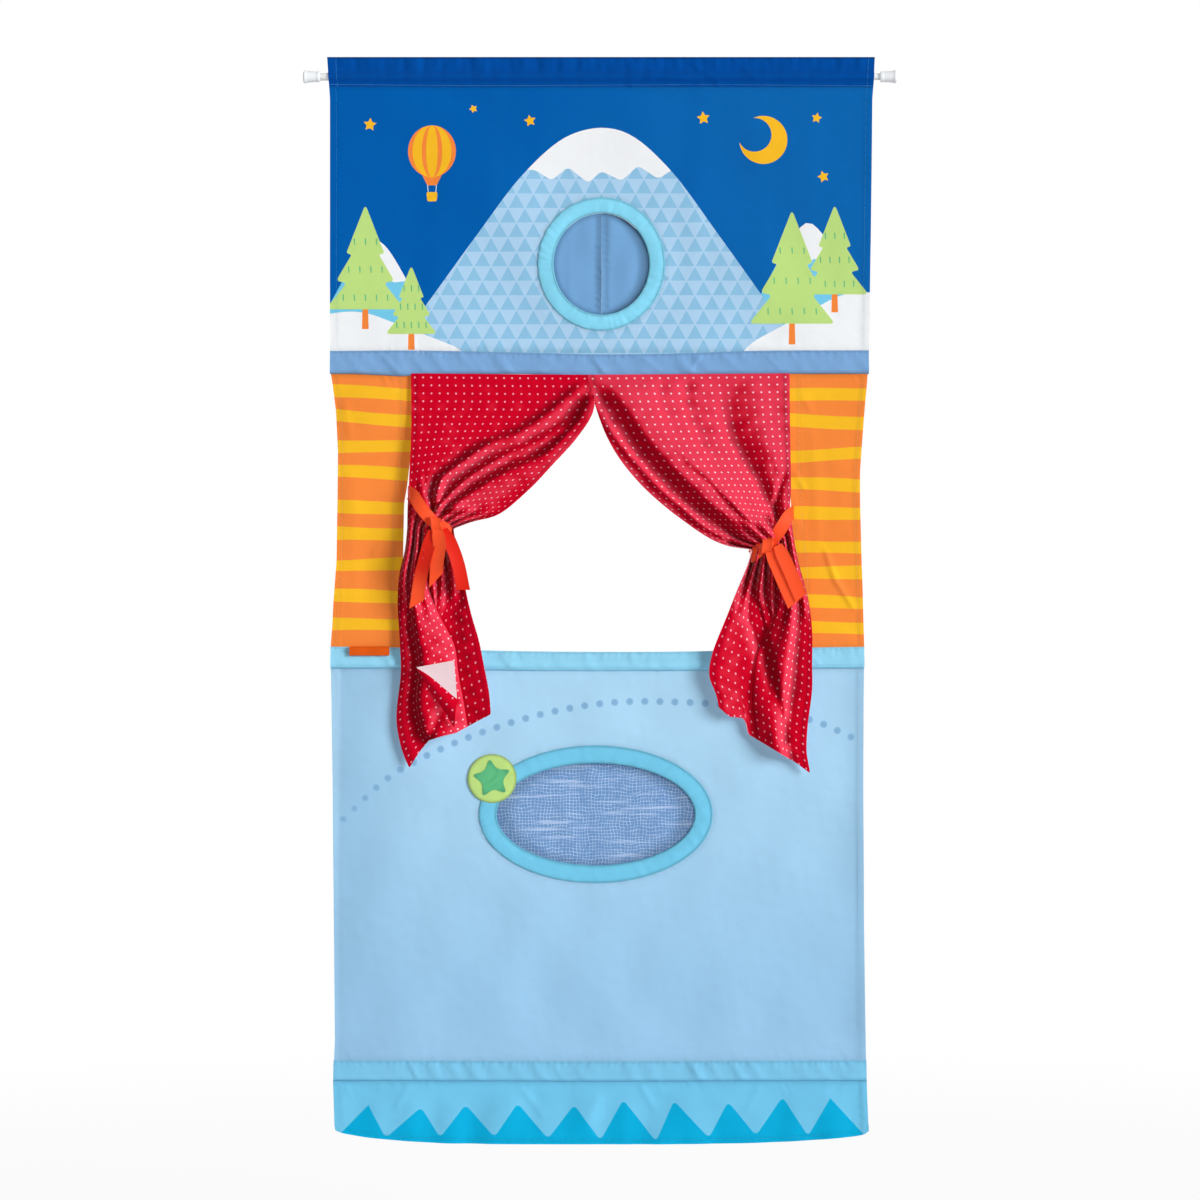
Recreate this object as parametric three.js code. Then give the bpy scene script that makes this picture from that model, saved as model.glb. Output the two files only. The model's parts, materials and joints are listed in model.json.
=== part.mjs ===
// A doorway puppet theatre: a sewn cloth banner with a stage opening and tied-back curtains,
// hung on a telescopic tension rod that is clamped between the two jambs of a doorway.
// Millimetres, +Z up, the audience on the -Y side. The origin is the middle of the rod's axis.
import * as THREE from "three";

// Fits shared by all pieces
const clearance = 0.3; // between pieces that touch, and round a sliding fit
const clothThickness = 1.2; // pressed cotton with its turned hems
const hingeGap = 0.9; // between a swinging cloth and the seam it turns on

// Tension rod
const rodShowing = 12; // of the rod between the sleeve and each cap, as set here
const outerTubeDiameter = 12;
const innerTubeDiameter = 10;
const tubeWall = 0.6;
const outerTubeLength = 580;
const tubeOverlap = 260;
const capLength = 25;
const capRimDiameter = 19.5;
const capNeckDiameter = 15.6;
const capBaseWall = 2.5;
const capTravel = 8; // of the left cap against the spring
const padDiameter = 15;
const padThickness = 2;
const padProud = 0.6;
const plungerLength = 22;
const springLength = 90;
const springDiameter = 8.4; // to the middle of the wire
const springWire = 1.1;
const springTurns = 18;
const springSteps = 8;
const springSides = 5;
const plugLength = 14;
const lockSpindleDiameter = 5;
const lockSpindleLength = 22;
const lockBushLength = 12;

// Banner widths
const bodyWidth = 798; // of the panels below the stage
const upperPanelEase = 5; // each side, wider than the body
const sleeveEase = 9;
const bandEase = 2;
const headerBandEase = 4;

// Banner heights, from the top down
const headerRise = 29.5; // of the stiff double cloth over the rod's axis
const sleeveDrop = 13.2; // from the rod's axis to the sleeve's seam
const sleeveSeamThickness = 1.8;
const upperPanelHeight = 398;
const headerBandHeight = 34.5;
const openingHeight = 411;
const sillBandHeight = 30;
const lowerPanelHeight = 588;
const baseBandHeight = 30;
const valanceSideDrop = 78;
const valanceMiddleDrop = 93;

// Dowels that keep the bands straight
const dowelDiameter = 12;
const dowelInset = 8; // from each end of its band

// Stage opening, pillars and curtains
const pillarWidth = 118.5; // under the header band
const curtainMeeting = -15; // where the two curtains meet, from the middle
const curtainThickness = 1.4;
const bundleBack = 4; // behind the gathered cloth, from the banner's front
const bundleDepth = 20; // of the gathered cloth at the ties
const tailBack = 10; // behind the loose cloth, which hangs clear of the sill
const tailDepth = 24;
const tailSpread = 150; // scale of the tails' widths
const leftTailDrop = 335;
const rightTailDrop = 300;
const curtainFolds = 2.3;
const foldCrowdingShare = 1.4; // power that crowds the folds towards the free edge
const tailClearShare = 0.35; // of a tail's drop, by which it hangs clear of the sill
const tailHingeGap = 0.5; // between a tail and the drape that it swings under

// Ribbons
const ribbonWidth = 20;
const ribbonThickness = 0.8;
const knotWidth = 26;
const knotHeight = 36;
const knotDepth = 14;
const knotInwards = 42; // from its pillar
const loopSlack = 1.2; // of the loop at the curtain's free edge
const leftLoopRise = 58; // from the loop's inner turn up to the one beside the pillar
const rightLoopRise = 60;
const leftOuterEndLength = 98;
const leftMiddleEndLength = 62;
const leftInnerEndLength = 74;
const rightInnerEndLength = 81;
const rightOuterEndLength = 76;
const gatheredShare = 0.5; // of a loose end's width where it leaves the knot
const knotReachShare = 0.2; // of the loop's rise, at which the strap leaves its knot

// Round window with its two flaps
const windowOffset = 2.2; // sideways from the middle
const windowDrop = 267.8; // from the sleeve's seam to the window's centre
const windowWidth = 143.6;
const windowHeight = 152.2;
const windowRingWidth = 24;
const appliqueThickness = 1;
const appliqueTuck = 3; // of a panel's raw edge under an applique ring
const flapSlit = 1;
const flapEdgeEase = 4; // of a flap inside the ring
const flapHingeOffset = 51.7; // from the window's middle
const flapHemMargin = 12;

// Oval window, its cloth and its badge
const ovalOffset = -6.4;
const ovalDrop = 218.1; // from the lower panel's top
const ovalWidth = 297;
const ovalHeight = 152.7;
const ovalRingWidth = 27;
const ovalClothMargin = 14;
const badgeOffset = -161.7;
const badgeDrop = 164.5;
const badgeDiameter = 73;
const starDiameter = 54;
const starThickness = 0.6;
const starPoints = 5;
const starInnerShare = 0.5;

// Blank side label, folded over the seam under the left pillar
const labelWidth = 60;
const labelHeight = 13.5;
const labelInset = 23.5; // from the body's left edge
const labelDrop = 0.8; // under the seam

// Facets
const turnedSegments = 24;
const arcSegments = 8;
const ovalSegments = 18;
const drapeColumns = 18;
const drapeRows = 12;
const tailColumns = 16;
const tailRows = 12;
const knotSegments = 12;
const knotRings = 8;
const loopSteps = 28;
const looseEndSteps = 5;

// Outlines as shares of named sizes. Pillar edges: share of the pillar's width (from its own edge,
// inwards) against share of the opening's height.
const pillarOuterShares = [
  [0, 0],
  [0.05, 0.14],
  [0.073, 0.3],
  [0.065, 0.69],
  [0.02, 0.88],
  [0, 1],
];
const pillarInnerShares = [
  [1, 0],
  [0.992, 0.28],
  [0.925, 0.39],
  [0.9, 0.59],
  [0.885, 0.7],
  [0.87, 0.84],
  [0.87, 1],
];
// Curtain edges: share of the curtain's reach from its pillar against share of the opening's height
const leftOuterShares = [
  [0.004, 0],
  [0.002, 0.287],
  [-0.02, 0.393],
  [-0.024, 0.507],
  [-0.028, 0.632],
];
const leftFreeShares = [
  [0.983, 0],
  [1.012, 0.129],
  [0.922, 0.232],
  [0.772, 0.342],
  [0.65, 0.426],
  [0.489, 0.526],
  [0.342, 0.548],
  [0.252, 0.564],
  [0.244, 0.632],
];
const rightOuterShares = [
  [0.004, 0],
  [0.002, 0.287],
  [-0.009, 0.463],
  [-0.02, 0.574],
  [-0.045, 0.735],
];
const rightFreeShares = [
  [0.994, 0],
  [0.967, 0.114],
  [0.917, 0.228],
  [0.844, 0.32],
  [0.743, 0.408],
  [0.637, 0.48],
  [0.537, 0.537],
  [0.413, 0.607],
  [0.33, 0.636],
  [0.23, 0.647],
  [0.196, 0.662],
  [0.192, 0.735],
];
// Tail edges: share of the tail spread from the pillar against share of the tail's drop
const leftTailOuterShares = [
  [-0.05, 0],
  [-0.12, 0.147],
  [-0.145, 0.283],
  [-0.11, 0.449],
  [-0.103, 0.59],
  [-0.17, 0.765],
  [-0.11, 0.901],
  [-0.02, 1],
];
const leftTailInnerShares = [
  [0.44, 0],
  [0.495, 0.147],
  [0.536, 0.217],
  [0.59, 0.322],
  [0.69, 0.463],
  [0.77, 0.634],
  [0.79, 0.761],
  [0.79, 1],
];
const rightTailOuterShares = [
  [-0.09, 0],
  [-0.144, 0.065],
  [-0.2, 0.172],
  [-0.234, 0.314],
  [-0.224, 0.46],
  [-0.224, 0.601],
  [-0.194, 0.781],
  [-0.174, 0.908],
  [-0.204, 1],
];
const rightTailInnerShares = [
  [0.381, 0],
  [0.576, 0.172],
  [0.696, 0.314],
  [0.766, 0.421],
  [0.81, 0.489],
  [0.71, 0.586],
  [0.706, 0.679],
  [0.706, 1],
];
// Hems: share of the tail's drop against share of the way across, from the pillar
const leftHemShares = [
  [1, 0],
  [0.923, 0.21],
  [0.87, 0.396],
  [0.827, 0.71],
  [0.761, 1],
];
const rightHemShares = [
  [1, 0],
  [0.903, 0.19],
  [0.835, 0.46],
  [0.776, 0.68],
  [0.723, 0.88],
  [0.679, 1],
];
// Strap round the gathered cloth. Each row is a share of the ribbon's width in from the turn, a share
// of the way from the run behind the cloth to the run before it, and a share of the loop's rise
const outerTurnShares = [
  [1, 1, 0.75],
  [0.33, 0.78, 0.92],
  [0, 0.53, 1],
  [0, 0.08, 1],
  [0.25, 0, 1],
];
const innerTurnShares = [
  [0.25, 0, 0],
  [0, 0.3, 0],
  [0, 0.88, 0],
  [0.125, 1, 0],
];

// Sizes that follow from those above
const rodSpan = bodyWidth + 2 * (sleeveEase + rodShowing + capLength); // over both rubber pads
const pillarEdge = bodyWidth / 2 + bandEase;
const openingWidth = 2 * (pillarEdge - pillarWidth);
const outerTubeRadius = outerTubeDiameter / 2;
const outerTubeBore = outerTubeRadius - tubeWall;
const innerTubeRadius = innerTubeDiameter / 2;
const innerTubeBore = innerTubeRadius - tubeWall;
const bandDepth = dowelDiameter + 2 * (clearance + clothThickness);
const bandFront = -bandDepth / 2;
const panelFront = -clothThickness / 2;
const appliqueBack = panelFront - clearance;
const behindPanel = clothThickness / 2 + clearance + clothThickness;
const curtainFront = panelFront - clearance - curtainThickness / 2;

const sleeveBottom = -sleeveDrop;
const upperPanelTop = sleeveBottom - clearance;
const headerBandTop = upperPanelTop - upperPanelHeight - clearance;
const openingTop = headerBandTop - headerBandHeight - clearance;
const sillBandTop = openingTop - openingHeight - clearance;
const lowerPanelTop = sillBandTop - sillBandHeight - clearance;
const baseBandTop = lowerPanelTop - lowerPanelHeight - clearance;
const valanceTop = baseBandTop - baseBandHeight - hingeGap;

// Materials, with the colours, sheen and metalness of the real finishes
function finish(color, roughness, metalness = 0) {
  return new THREE.MeshStandardMaterial({ color, roughness, metalness });
}
const finishes = {
  whiteEnamel: finish(0xf2f3f4, 0.35, 0.1),
  whitePlastic: finish(0xeef0f3, 0.45),
  rubber: finish(0xe4e4e0, 0.8),
  steel: finish(0x9a9da1, 0.35, 0.9),
  greyPlastic: finish(0xb9bcc0, 0.5),
  birch: finish(0xd9bc8c, 0.6),
  nightBlue: finish(0x0053a0, 0.85),
  windowCyan: finish(0x6ccff0, 0.85),
  flapBlue: finish(0x6a98d3, 0.85),
  bandBlue: finish(0x6491cd, 0.85),
  orangeCloth: finish(0xee843c, 0.85),
  redCloth: finish(0xd0152f, 0.8),
  ribbonOrange: finish(0xf8582c, 0.45),
  sillBlue: finish(0x82cdee, 0.85),
  paleBlue: finish(0xa0cded, 0.85),
  pondBlue: finish(0x5f87c3, 0.85),
  limeCloth: finish(0xbedf6e, 0.85),
  greenCloth: finish(0x4db86a, 0.85),
  baseBlue: finish(0x72bfe4, 0.85),
  valanceBlue: finish(0x6ebee4, 0.85),
  labelOrange: finish(0xf57d14, 0.6),
};

// A closed solid from corners and triangles, turned so that its faces point out
function solidFrom(corners, triangles) {
  let volume = 0;
  const between = new THREE.Vector3();
  for (const [a, b, c] of triangles)
    volume += corners[a].dot(between.crossVectors(corners[b], corners[c]));
  const outward = volume > 0 ? triangles : triangles.map(([a, b, c]) => [a, c, b]);
  const geometry = new THREE.BufferGeometry().setFromPoints(corners);
  geometry.setIndex(outward.flat());
  geometry.computeVertexNormals();
  return geometry;
}

// A solid through rings of corners, closed by a fan at each end
function sweep(rings) {
  const sides = rings[0].length;
  const triangles = [];
  for (let ring = 1; ring < rings.length; ring++)
    for (let side = 0; side < sides; side++) {
      const next = (side + 1) % sides;
      const low = (ring - 1) * sides;
      const high = ring * sides;
      triangles.push([low + side, low + next, high + next]);
      triangles.push([low + side, high + next, high + side]);
    }
  const last = (rings.length - 1) * sides;
  for (let side = 1; side < sides - 1; side++) {
    triangles.push([0, side + 1, side]);
    triangles.push([last, last + side, last + side + 1]);
  }
  return solidFrom(rings.flat(), triangles);
}

// A flat strip along a path, with its width along the given direction
function strip(path, direction, widthAt, thickness) {
  const tangent = new THREE.Vector3();
  const normal = new THREE.Vector3();
  const rings = path.map((point, index) => {
    const before = path[Math.max(index - 1, 0)];
    const after = path[Math.min(index + 1, path.length - 1)];
    tangent.subVectors(after, before).normalize();
    const along = index / (path.length - 1);
    const across = direction.clone().projectOnPlane(tangent).normalize();
    normal.crossVectors(tangent, across).multiplyScalar(thickness / 2);
    across.multiplyScalar(widthAt(along) / 2);
    return [
      point.clone().sub(across).sub(normal),
      point.clone().add(across).sub(normal),
      point.clone().add(across).add(normal),
      point.clone().sub(across).add(normal),
    ];
  });
  return sweep(rings);
}

// A sheet of cloth over a grid of points, with its thickness along Y
function clothSheet(columns, rows, place, thickness) {
  const corners = [];
  for (const face of [-1, 1])
    for (let row = 0; row <= rows; row++)
      for (let column = 0; column <= columns; column++) {
        const point = place(column / columns, row / rows);
        point.y += (face * thickness) / 2;
        corners.push(point);
      }
  const back = (columns + 1) * (rows + 1);
  const at = (column, row) => row * (columns + 1) + column;
  const triangles = [];
  for (let row = 0; row < rows; row++)
    for (let column = 0; column < columns; column++) {
      const quad = [at(column, row), at(column, row + 1), at(column + 1, row + 1), at(column + 1, row)];
      const [a, b, c, d] = quad;
      triangles.push([a, b, c], [a, c, d]);
      triangles.push([a + back, c + back, b + back], [a + back, d + back, c + back]);
    }
  const edge = [];
  for (let row = 0; row < rows; row++) edge.push(at(0, row));
  for (let column = 0; column < columns; column++) edge.push(at(column, rows));
  for (let row = rows; row > 0; row--) edge.push(at(columns, row));
  for (let column = columns; column > 0; column--) edge.push(at(column, 0));
  edge.forEach((start, index) => {
    const end = edge[(index + 1) % edge.length];
    triangles.push([start, start + back, end + back], [start, end + back, end]);
  });
  return solidFrom(corners, triangles);
}

// A piece turned about the rod's axis from a profile of [place along X, radius]
function turned(profile) {
  let area = 0;
  profile.forEach(([x, radius], index) => {
    const [nextX, nextRadius] = profile[(index + 1) % profile.length];
    area += radius * nextX - nextRadius * x;
  });
  const points = profile.map(([x, radius]) => new THREE.Vector2(radius, x));
  if (area < 0) points.reverse();
  return new THREE.LatheGeometry(points, turnedSegments).rotateZ(-Math.PI / 2);
}

// A tube's profile, closed on itself
function tubeProfile(start, end, bore, radius) {
  return [
    [start, bore],
    [start, radius],
    [end, radius],
    [end, bore],
    [start, bore],
  ];
}

// A solid rod's profile, from axis to axis
function rodProfile(start, end, radius) {
  return [
    [start, 0],
    [start, radius],
    [end, radius],
    [end, 0],
  ];
}

// A flat piece cut to a shape in X and Z, from its back face towards the audience
function plate(shape, back, thickness, segments = arcSegments) {
  const options = { depth: thickness, bevelEnabled: false, curveSegments: segments };
  return new THREE.ExtrudeGeometry(shape, options).rotateX(Math.PI / 2).translate(0, back, 0);
}

// A section in Y and Z carried along X, centred on X = 0
function carriedAlongX(shape, length) {
  const options = { depth: length, bevelEnabled: false, curveSegments: arcSegments };
  const turn = new THREE.Matrix4().makeBasis(
    new THREE.Vector3(0, 1, 0),
    new THREE.Vector3(0, 0, 1),
    new THREE.Vector3(1, 0, 0),
  );
  return new THREE.ExtrudeGeometry(shape, options).applyMatrix4(turn).translate(-length / 2, 0, 0);
}

function shapeOf(points) {
  return new THREE.Shape(points.map(([across, up]) => new THREE.Vector2(across, up)));
}

function ellipse(path, radiusAcross, radiusUp) {
  path.absellipse(0, 0, radiusAcross, radiusUp, 0, 2 * Math.PI, false, 0);
  return path;
}

// Straight-line reading of a table of [value, place]
function readTable(table, place) {
  for (let row = 1; row < table.length; row++) {
    const [value, from] = table[row - 1];
    const [nextValue, to] = table[row];
    if (place <= to) return value + ((nextValue - value) * (place - from)) / (to - from);
  }
  return table[table.length - 1][0];
}

const theatre = new THREE.Group();
const rod = new THREE.Group();
const banner = new THREE.Group();
theatre.add(rod, banner);

function addPiece(group, name, geometry, material, x = 0, y = 0, z = 0) {
  const mesh = new THREE.Mesh(geometry, material);
  mesh.name = name;
  mesh.position.set(x, y, z);
  group.add(mesh);
  return mesh;
}

// Tension rod: end caps and pads
const padSeat = padThickness + clearance;
const capBase = padSeat + capBaseWall;
const padPocketRadius = padDiameter / 2 + clearance;
const capRimRadius = capRimDiameter / 2;
const capNeckRadius = capNeckDiameter / 2;
const capWaist = capLength / 2;
const capWaistRadius = capNeckRadius + (capRimRadius - capNeckRadius) / 6;

// Bell-shaped cap: places along the rod are measured inwards from its pad's face
function capProfile(boreRadius, place) {
  return [
    [place(padProud), padPocketRadius],
    [place(padProud), capRimRadius],
    [place(padProud + padThickness), capRimRadius],
    [place(capWaist), capWaistRadius],
    [place(capLength), capNeckRadius],
    [place(capLength), boreRadius],
    [place(capBase), boreRadius],
    [place(capBase), 0],
    [place(padSeat), 0],
    [place(padSeat), padPocketRadius],
  ];
}

// The cap's base closes it on the axis, so its profile starts and ends there
function capGeometry(boreRadius, place) {
  const profile = capProfile(boreRadius, place);
  const onAxis = profile.findIndex(([, radius]) => radius === 0);
  const opened = [...profile.slice(onAxis + 1), ...profile.slice(0, onAxis + 1)];
  return turned(opened);
}

const fromLeft = (inwards) => -rodSpan / 2 + inwards;
const fromRight = (inwards) => rodSpan / 2 - inwards;
const slidingBore = outerTubeRadius + clearance;
const fixedBore = innerTubeRadius + clearance;
addPiece(rod, "left_end_cap", capGeometry(slidingBore, fromLeft), finishes.whitePlastic);
addPiece(rod, "right_end_cap", capGeometry(fixedBore, fromRight), finishes.whitePlastic);
const padRadius = padDiameter / 2;
const leftPadProfile = rodProfile(fromLeft(0), fromLeft(padThickness), padRadius);
const rightPadProfile = rodProfile(fromRight(padThickness), fromRight(0), padRadius);
addPiece(rod, "left_rubber_pad", turned(leftPadProfile), finishes.rubber);
addPiece(rod, "right_rubber_pad", turned(rightPadProfile), finishes.rubber);

// Tension rod: tubes, spring and lock
const outerTubeStart = fromLeft(capBase + capTravel + clearance);
const outerTubeEnd = outerTubeStart + outerTubeLength;
const mouthLip = outerTubeDiameter / 2;
const mouthBore = innerTubeRadius + clearance / 2;
const outerTubeProfile = [
  [outerTubeStart, outerTubeBore],
  [outerTubeStart, outerTubeRadius],
  [outerTubeEnd - mouthLip, outerTubeRadius],
  [outerTubeEnd, outerTubeRadius - tubeWall / 2],
  [outerTubeEnd, mouthBore],
  [outerTubeEnd - mouthLip, outerTubeBore],
  [outerTubeStart, outerTubeBore],
];
addPiece(rod, "rod_outer_tube", turned(outerTubeProfile), finishes.whiteEnamel);
const innerTubeStart = outerTubeEnd - tubeOverlap;
const innerTubeEnd = fromRight(capBase + clearance);
const innerTubeProfile = tubeProfile(innerTubeStart, innerTubeEnd, innerTubeBore, innerTubeRadius);
addPiece(rod, "rod_inner_tube", turned(innerTubeProfile), finishes.whiteEnamel);

const plungerStart = fromLeft(capBase + clearance);
const springStart = plungerStart + plungerLength + clearance + springWire / 2;
const springEnd = springStart + springLength;
const seatStart = springEnd + springWire / 2 + clearance;
const plugRadius = outerTubeBore - clearance;
const plungerProfile = rodProfile(plungerStart, plungerStart + plungerLength, plugRadius);
addPiece(rod, "spring_plunger", turned(plungerProfile), finishes.greyPlastic);
const seatProfile = rodProfile(seatStart, seatStart + plugLength, plugRadius);
addPiece(rod, "spring_seat_plug", turned(seatProfile), finishes.greyPlastic);

// Coil of round wire about the rod's axis
function springGeometry() {
  const rings = [];
  const middles = [];
  const steps = springTurns * springSteps;
  for (let step = 0; step <= steps; step++) {
    const turn = (2 * Math.PI * step) / springSteps;
    const outwards = new THREE.Vector3(0, Math.cos(turn), Math.sin(turn));
    const middle = outwards.clone().multiplyScalar(springDiameter / 2);
    middle.x = springStart + (springLength * step) / steps;
    middles.push(middle);
    const ring = [];
    for (let side = 0; side < springSides; side++) {
      const angle = (2 * Math.PI * side) / springSides;
      const corner = outwards.clone().multiplyScalar((Math.cos(angle) * springWire) / 2);
      corner.x += (Math.sin(angle) * springWire) / 2;
      ring.push(corner.add(middle));
    }
    rings.push(ring);
  }
  let least = Infinity;
  for (let first = 0; first < middles.length; first++)
    for (let second = first + springSteps / 2; second < middles.length; second++)
      least = Math.min(least, middles[first].distanceTo(middles[second]));
  console.log("tension_spring least gap to itself, mm:", (least - springWire).toFixed(2));
  return sweep(rings);
}
addPiece(rod, "tension_spring", springGeometry(), finishes.steel);

const lockFace = innerTubeStart - clearance;
const lockSpindleRadius = lockSpindleDiameter / 2;
const lockProfile = [
  [lockFace - plugLength, 0],
  [lockFace - plugLength, plugRadius],
  [lockFace, plugRadius],
  [lockFace, lockSpindleRadius],
  [lockFace + lockSpindleLength, lockSpindleRadius],
  [lockFace + lockSpindleLength, 0],
];
addPiece(rod, "cam_lock_plug", turned(lockProfile), finishes.greyPlastic);
const bushProfile = tubeProfile(
  innerTubeStart,
  innerTubeStart + lockBushLength,
  lockSpindleRadius + clearance,
  innerTubeBore - clearance,
);
addPiece(rod, "inner_tube_bush", turned(bushProfile), finishes.greyPlastic);

// Rod sleeve: a channel round the rod under a header of stiff double cloth
function sleeveShape() {
  const channel = outerTubeRadius + clearance;
  const skin = channel + clothThickness;
  const flank = Math.PI / 4;
  const seam = sleeveSeamThickness / 2;
  const neckAngle = Math.acos(clothThickness / skin);
  const shape = new THREE.Shape();
  shape.absarc(0, 0, skin, -flank, neckAngle, false);
  shape.lineTo(clothThickness, headerRise);
  shape.lineTo(-clothThickness, headerRise);
  shape.absarc(0, 0, skin, Math.PI - neckAngle, Math.PI + flank, false);
  shape.lineTo(-seam, -sleeveDrop);
  shape.lineTo(seam, -sleeveDrop);
  const hole = new THREE.Path();
  hole.absarc(0, 0, channel, -flank, Math.PI + flank, false);
  hole.lineTo(0, clothThickness - sleeveDrop);
  shape.holes.push(hole);
  return shape;
}
const sleeveGeometry = carriedAlongX(sleeveShape(), bodyWidth + 2 * sleeveEase);
addPiece(banner, "top_sleeve", sleeveGeometry, finishes.nightBlue);

// Panel hanging from its top edge, with an oval cut out of it
function panelShape(width, height, holeX, holeZ, holeWidth, holeHeight) {
  const half = width / 2;
  const outline = [
    [-half, 0],
    [-half, -height],
    [half, -height],
    [half, 0],
  ];
  const shape = shapeOf(outline);
  const hole = new THREE.Path();
  hole.absellipse(holeX, holeZ, holeWidth / 2, holeHeight / 2, 0, 2 * Math.PI, false, 0);
  shape.holes.push(hole);
  return shape;
}

// Applique ring that borders an oval window
function ringGeometry(width, height, border) {
  const shape = ellipse(new THREE.Shape(), width / 2 + border, height / 2 + border);
  shape.holes.push(ellipse(new THREE.Path(), width / 2, height / 2));
  return plate(shape, appliqueBack, appliqueThickness, ovalSegments);
}

const windowZ = sleeveBottom - windowDrop;
const upperPanelGeometry = plate(
  panelShape(
    bodyWidth + 2 * upperPanelEase,
    upperPanelHeight,
    windowOffset,
    windowZ - upperPanelTop,
    windowWidth + 2 * appliqueTuck,
    windowHeight + 2 * appliqueTuck,
  ),
  clothThickness / 2,
  clothThickness,
  ovalSegments,
);
addPiece(banner, "upper_panel", upperPanelGeometry, finishes.nightBlue, 0, 0, upperPanelTop);
const roundRing = ringGeometry(windowWidth, windowHeight, windowRingWidth);
addPiece(banner, "round_window_ring", roundRing, finishes.windowCyan, windowOffset, 0, windowZ);

// Window flap and its sewn hem: the two parts of one half of the cloth behind the round window
function flapShape(side) {
  const across = windowWidth / 2 - flapEdgeEase;
  const up = windowHeight / 2 - flapEdgeEase;
  const start = Math.acos(flapHingeOffset / across);
  const end = Math.acos(flapSlit / 2 / across);
  const shape = new THREE.Shape();
  if (side > 0) {
    shape.absellipse(0, 0, across, up, start, end, false, 0);
    shape.absellipse(0, 0, across, up, -end, -start, false, 0);
  } else {
    shape.absellipse(0, 0, across, up, Math.PI - end, Math.PI - start, false, 0);
    shape.absellipse(0, 0, across, up, Math.PI + start, Math.PI + end, false, 0);
  }
  return shape;
}

function flapHemShape(side) {
  const across = windowWidth / 2 + flapHemMargin;
  const up = windowHeight / 2 + flapHemMargin;
  const start = Math.acos((flapHingeOffset + hingeGap) / across);
  const middle = side > 0 ? 0 : Math.PI;
  const shape = new THREE.Shape();
  shape.absellipse(0, 0, across, up, middle - start, middle + start, false, 0);
  return shape;
}

for (const [word, side] of [
  ["left", -1],
  ["right", 1],
]) {
  const flap = plate(flapShape(side), behindPanel, clothThickness);
  const hem = plate(flapHemShape(side), behindPanel, clothThickness);
  addPiece(banner, word + "_window_flap", flap, finishes.flapBlue, windowOffset, 0, windowZ);
  addPiece(banner, word + "_flap_hem", hem, finishes.flapBlue, windowOffset, 0, windowZ);
}

// Sewn band: a flat tube of cloth with round edges that holds a dowel
function stadium(path, depth, height) {
  const radius = depth / 2;
  const straight = height / 2 - radius;
  path.absarc(0, straight, radius, 0, Math.PI, false);
  path.absarc(0, -straight, radius, Math.PI, 2 * Math.PI, false);
  return path;
}

function addBand(name, width, height, top, material) {
  const shape = stadium(new THREE.Shape(), bandDepth, height);
  const inside = 2 * clothThickness;
  shape.holes.push(stadium(new THREE.Path(), bandDepth - inside, height - inside));
  addPiece(banner, name, carriedAlongX(shape, width), material, 0, 0, top - height / 2);
}

// Dowel that rests in the bottom of its band
function addDowel(name, width, height, top) {
  const radius = dowelDiameter / 2;
  const half = width / 2 - dowelInset;
  const z = top - height + clothThickness + clearance + radius;
  addPiece(banner, name, turned(rodProfile(-half, half, radius)), finishes.birch, 0, 0, z);
}

const headerBandWidth = bodyWidth + 2 * headerBandEase;
const lowerBandWidth = bodyWidth + 2 * bandEase;
const bands = [
  ["stage_header_band", "header_dowel", headerBandWidth, headerBandHeight, headerBandTop, finishes.bandBlue],
  ["sill_band", "sill_dowel", lowerBandWidth, sillBandHeight, sillBandTop, finishes.sillBlue],
  ["base_band", "base_dowel", bodyWidth, baseBandHeight, baseBandTop, finishes.baseBlue],
];
for (const [name, dowel, width, height, top, material] of bands) {
  addBand(name, width, height, top, material);
  addDowel(dowel, width, height, top);
}

// Pillars beside the stage
for (const [word, side] of [
  ["left", -1],
  ["right", 1],
]) {
  const place = ([inwards, down]) => [
    side * (pillarEdge - inwards * pillarWidth),
    -down * openingHeight,
  ];
  const outer = pillarOuterShares.map(place);
  const inner = pillarInnerShares.map(place).reverse();
  const geometry = plate(shapeOf([...outer, ...inner]), clothThickness / 2, clothThickness);
  addPiece(banner, word + "_pillar", geometry, finishes.orangeCloth, 0, 0, openingTop);
}

// Curtains. Each is one cloth, gathered by its tie: the drape above and the tail below
function depthOfFold(across) {
  return 0.5 - 0.5 * Math.cos(2 * Math.PI * curtainFolds * across ** foldCrowdingShare);
}

const drapeEndShare = (curtain) => curtain.freeShares[curtain.freeShares.length - 1][1];
const reachOf = (curtain) => openingWidth / 2 - curtain.side * curtainMeeting;
const drapeEndOf = (curtain) => openingTop - drapeEndShare(curtain) * openingHeight;
const inwardsFromPillar = (curtain, inwards) => curtain.side * (openingWidth / 2 - inwards);

// Curtain's edge at a height, read straight from its table
function edgeX(curtain, shares, z) {
  const inwards = readTable(shares, (openingTop - z) / openingHeight);
  return inwardsFromPillar(curtain, inwards * reachOf(curtain));
}

function edgeCurve(curtain, shares) {
  const points = shares.map(([inwards, down]) => {
    const x = inwardsFromPillar(curtain, inwards * reachOf(curtain));
    return new THREE.Vector3(x, 0, openingTop - down * openingHeight);
  });
  return new THREE.CatmullRomCurve3(points, false, "centripetal");
}

function addDrape(curtain) {
  const outer = edgeCurve(curtain, curtain.outerShares);
  const free = edgeCurve(curtain, curtain.freeShares);
  const place = (across, down) => {
    const point = outer.getPointAt(down).lerp(free.getPointAt(down), across);
    const gather = THREE.MathUtils.smoothstep(down, 0, 1);
    point.y = curtainFront - gather * (bundleBack + bundleDepth * depthOfFold(across));
    return point;
  };
  const geometry = clothSheet(drapeColumns, drapeRows, place, curtainThickness);
  addPiece(banner, curtain.word + "_curtain", geometry, finishes.redCloth);
}

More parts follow.
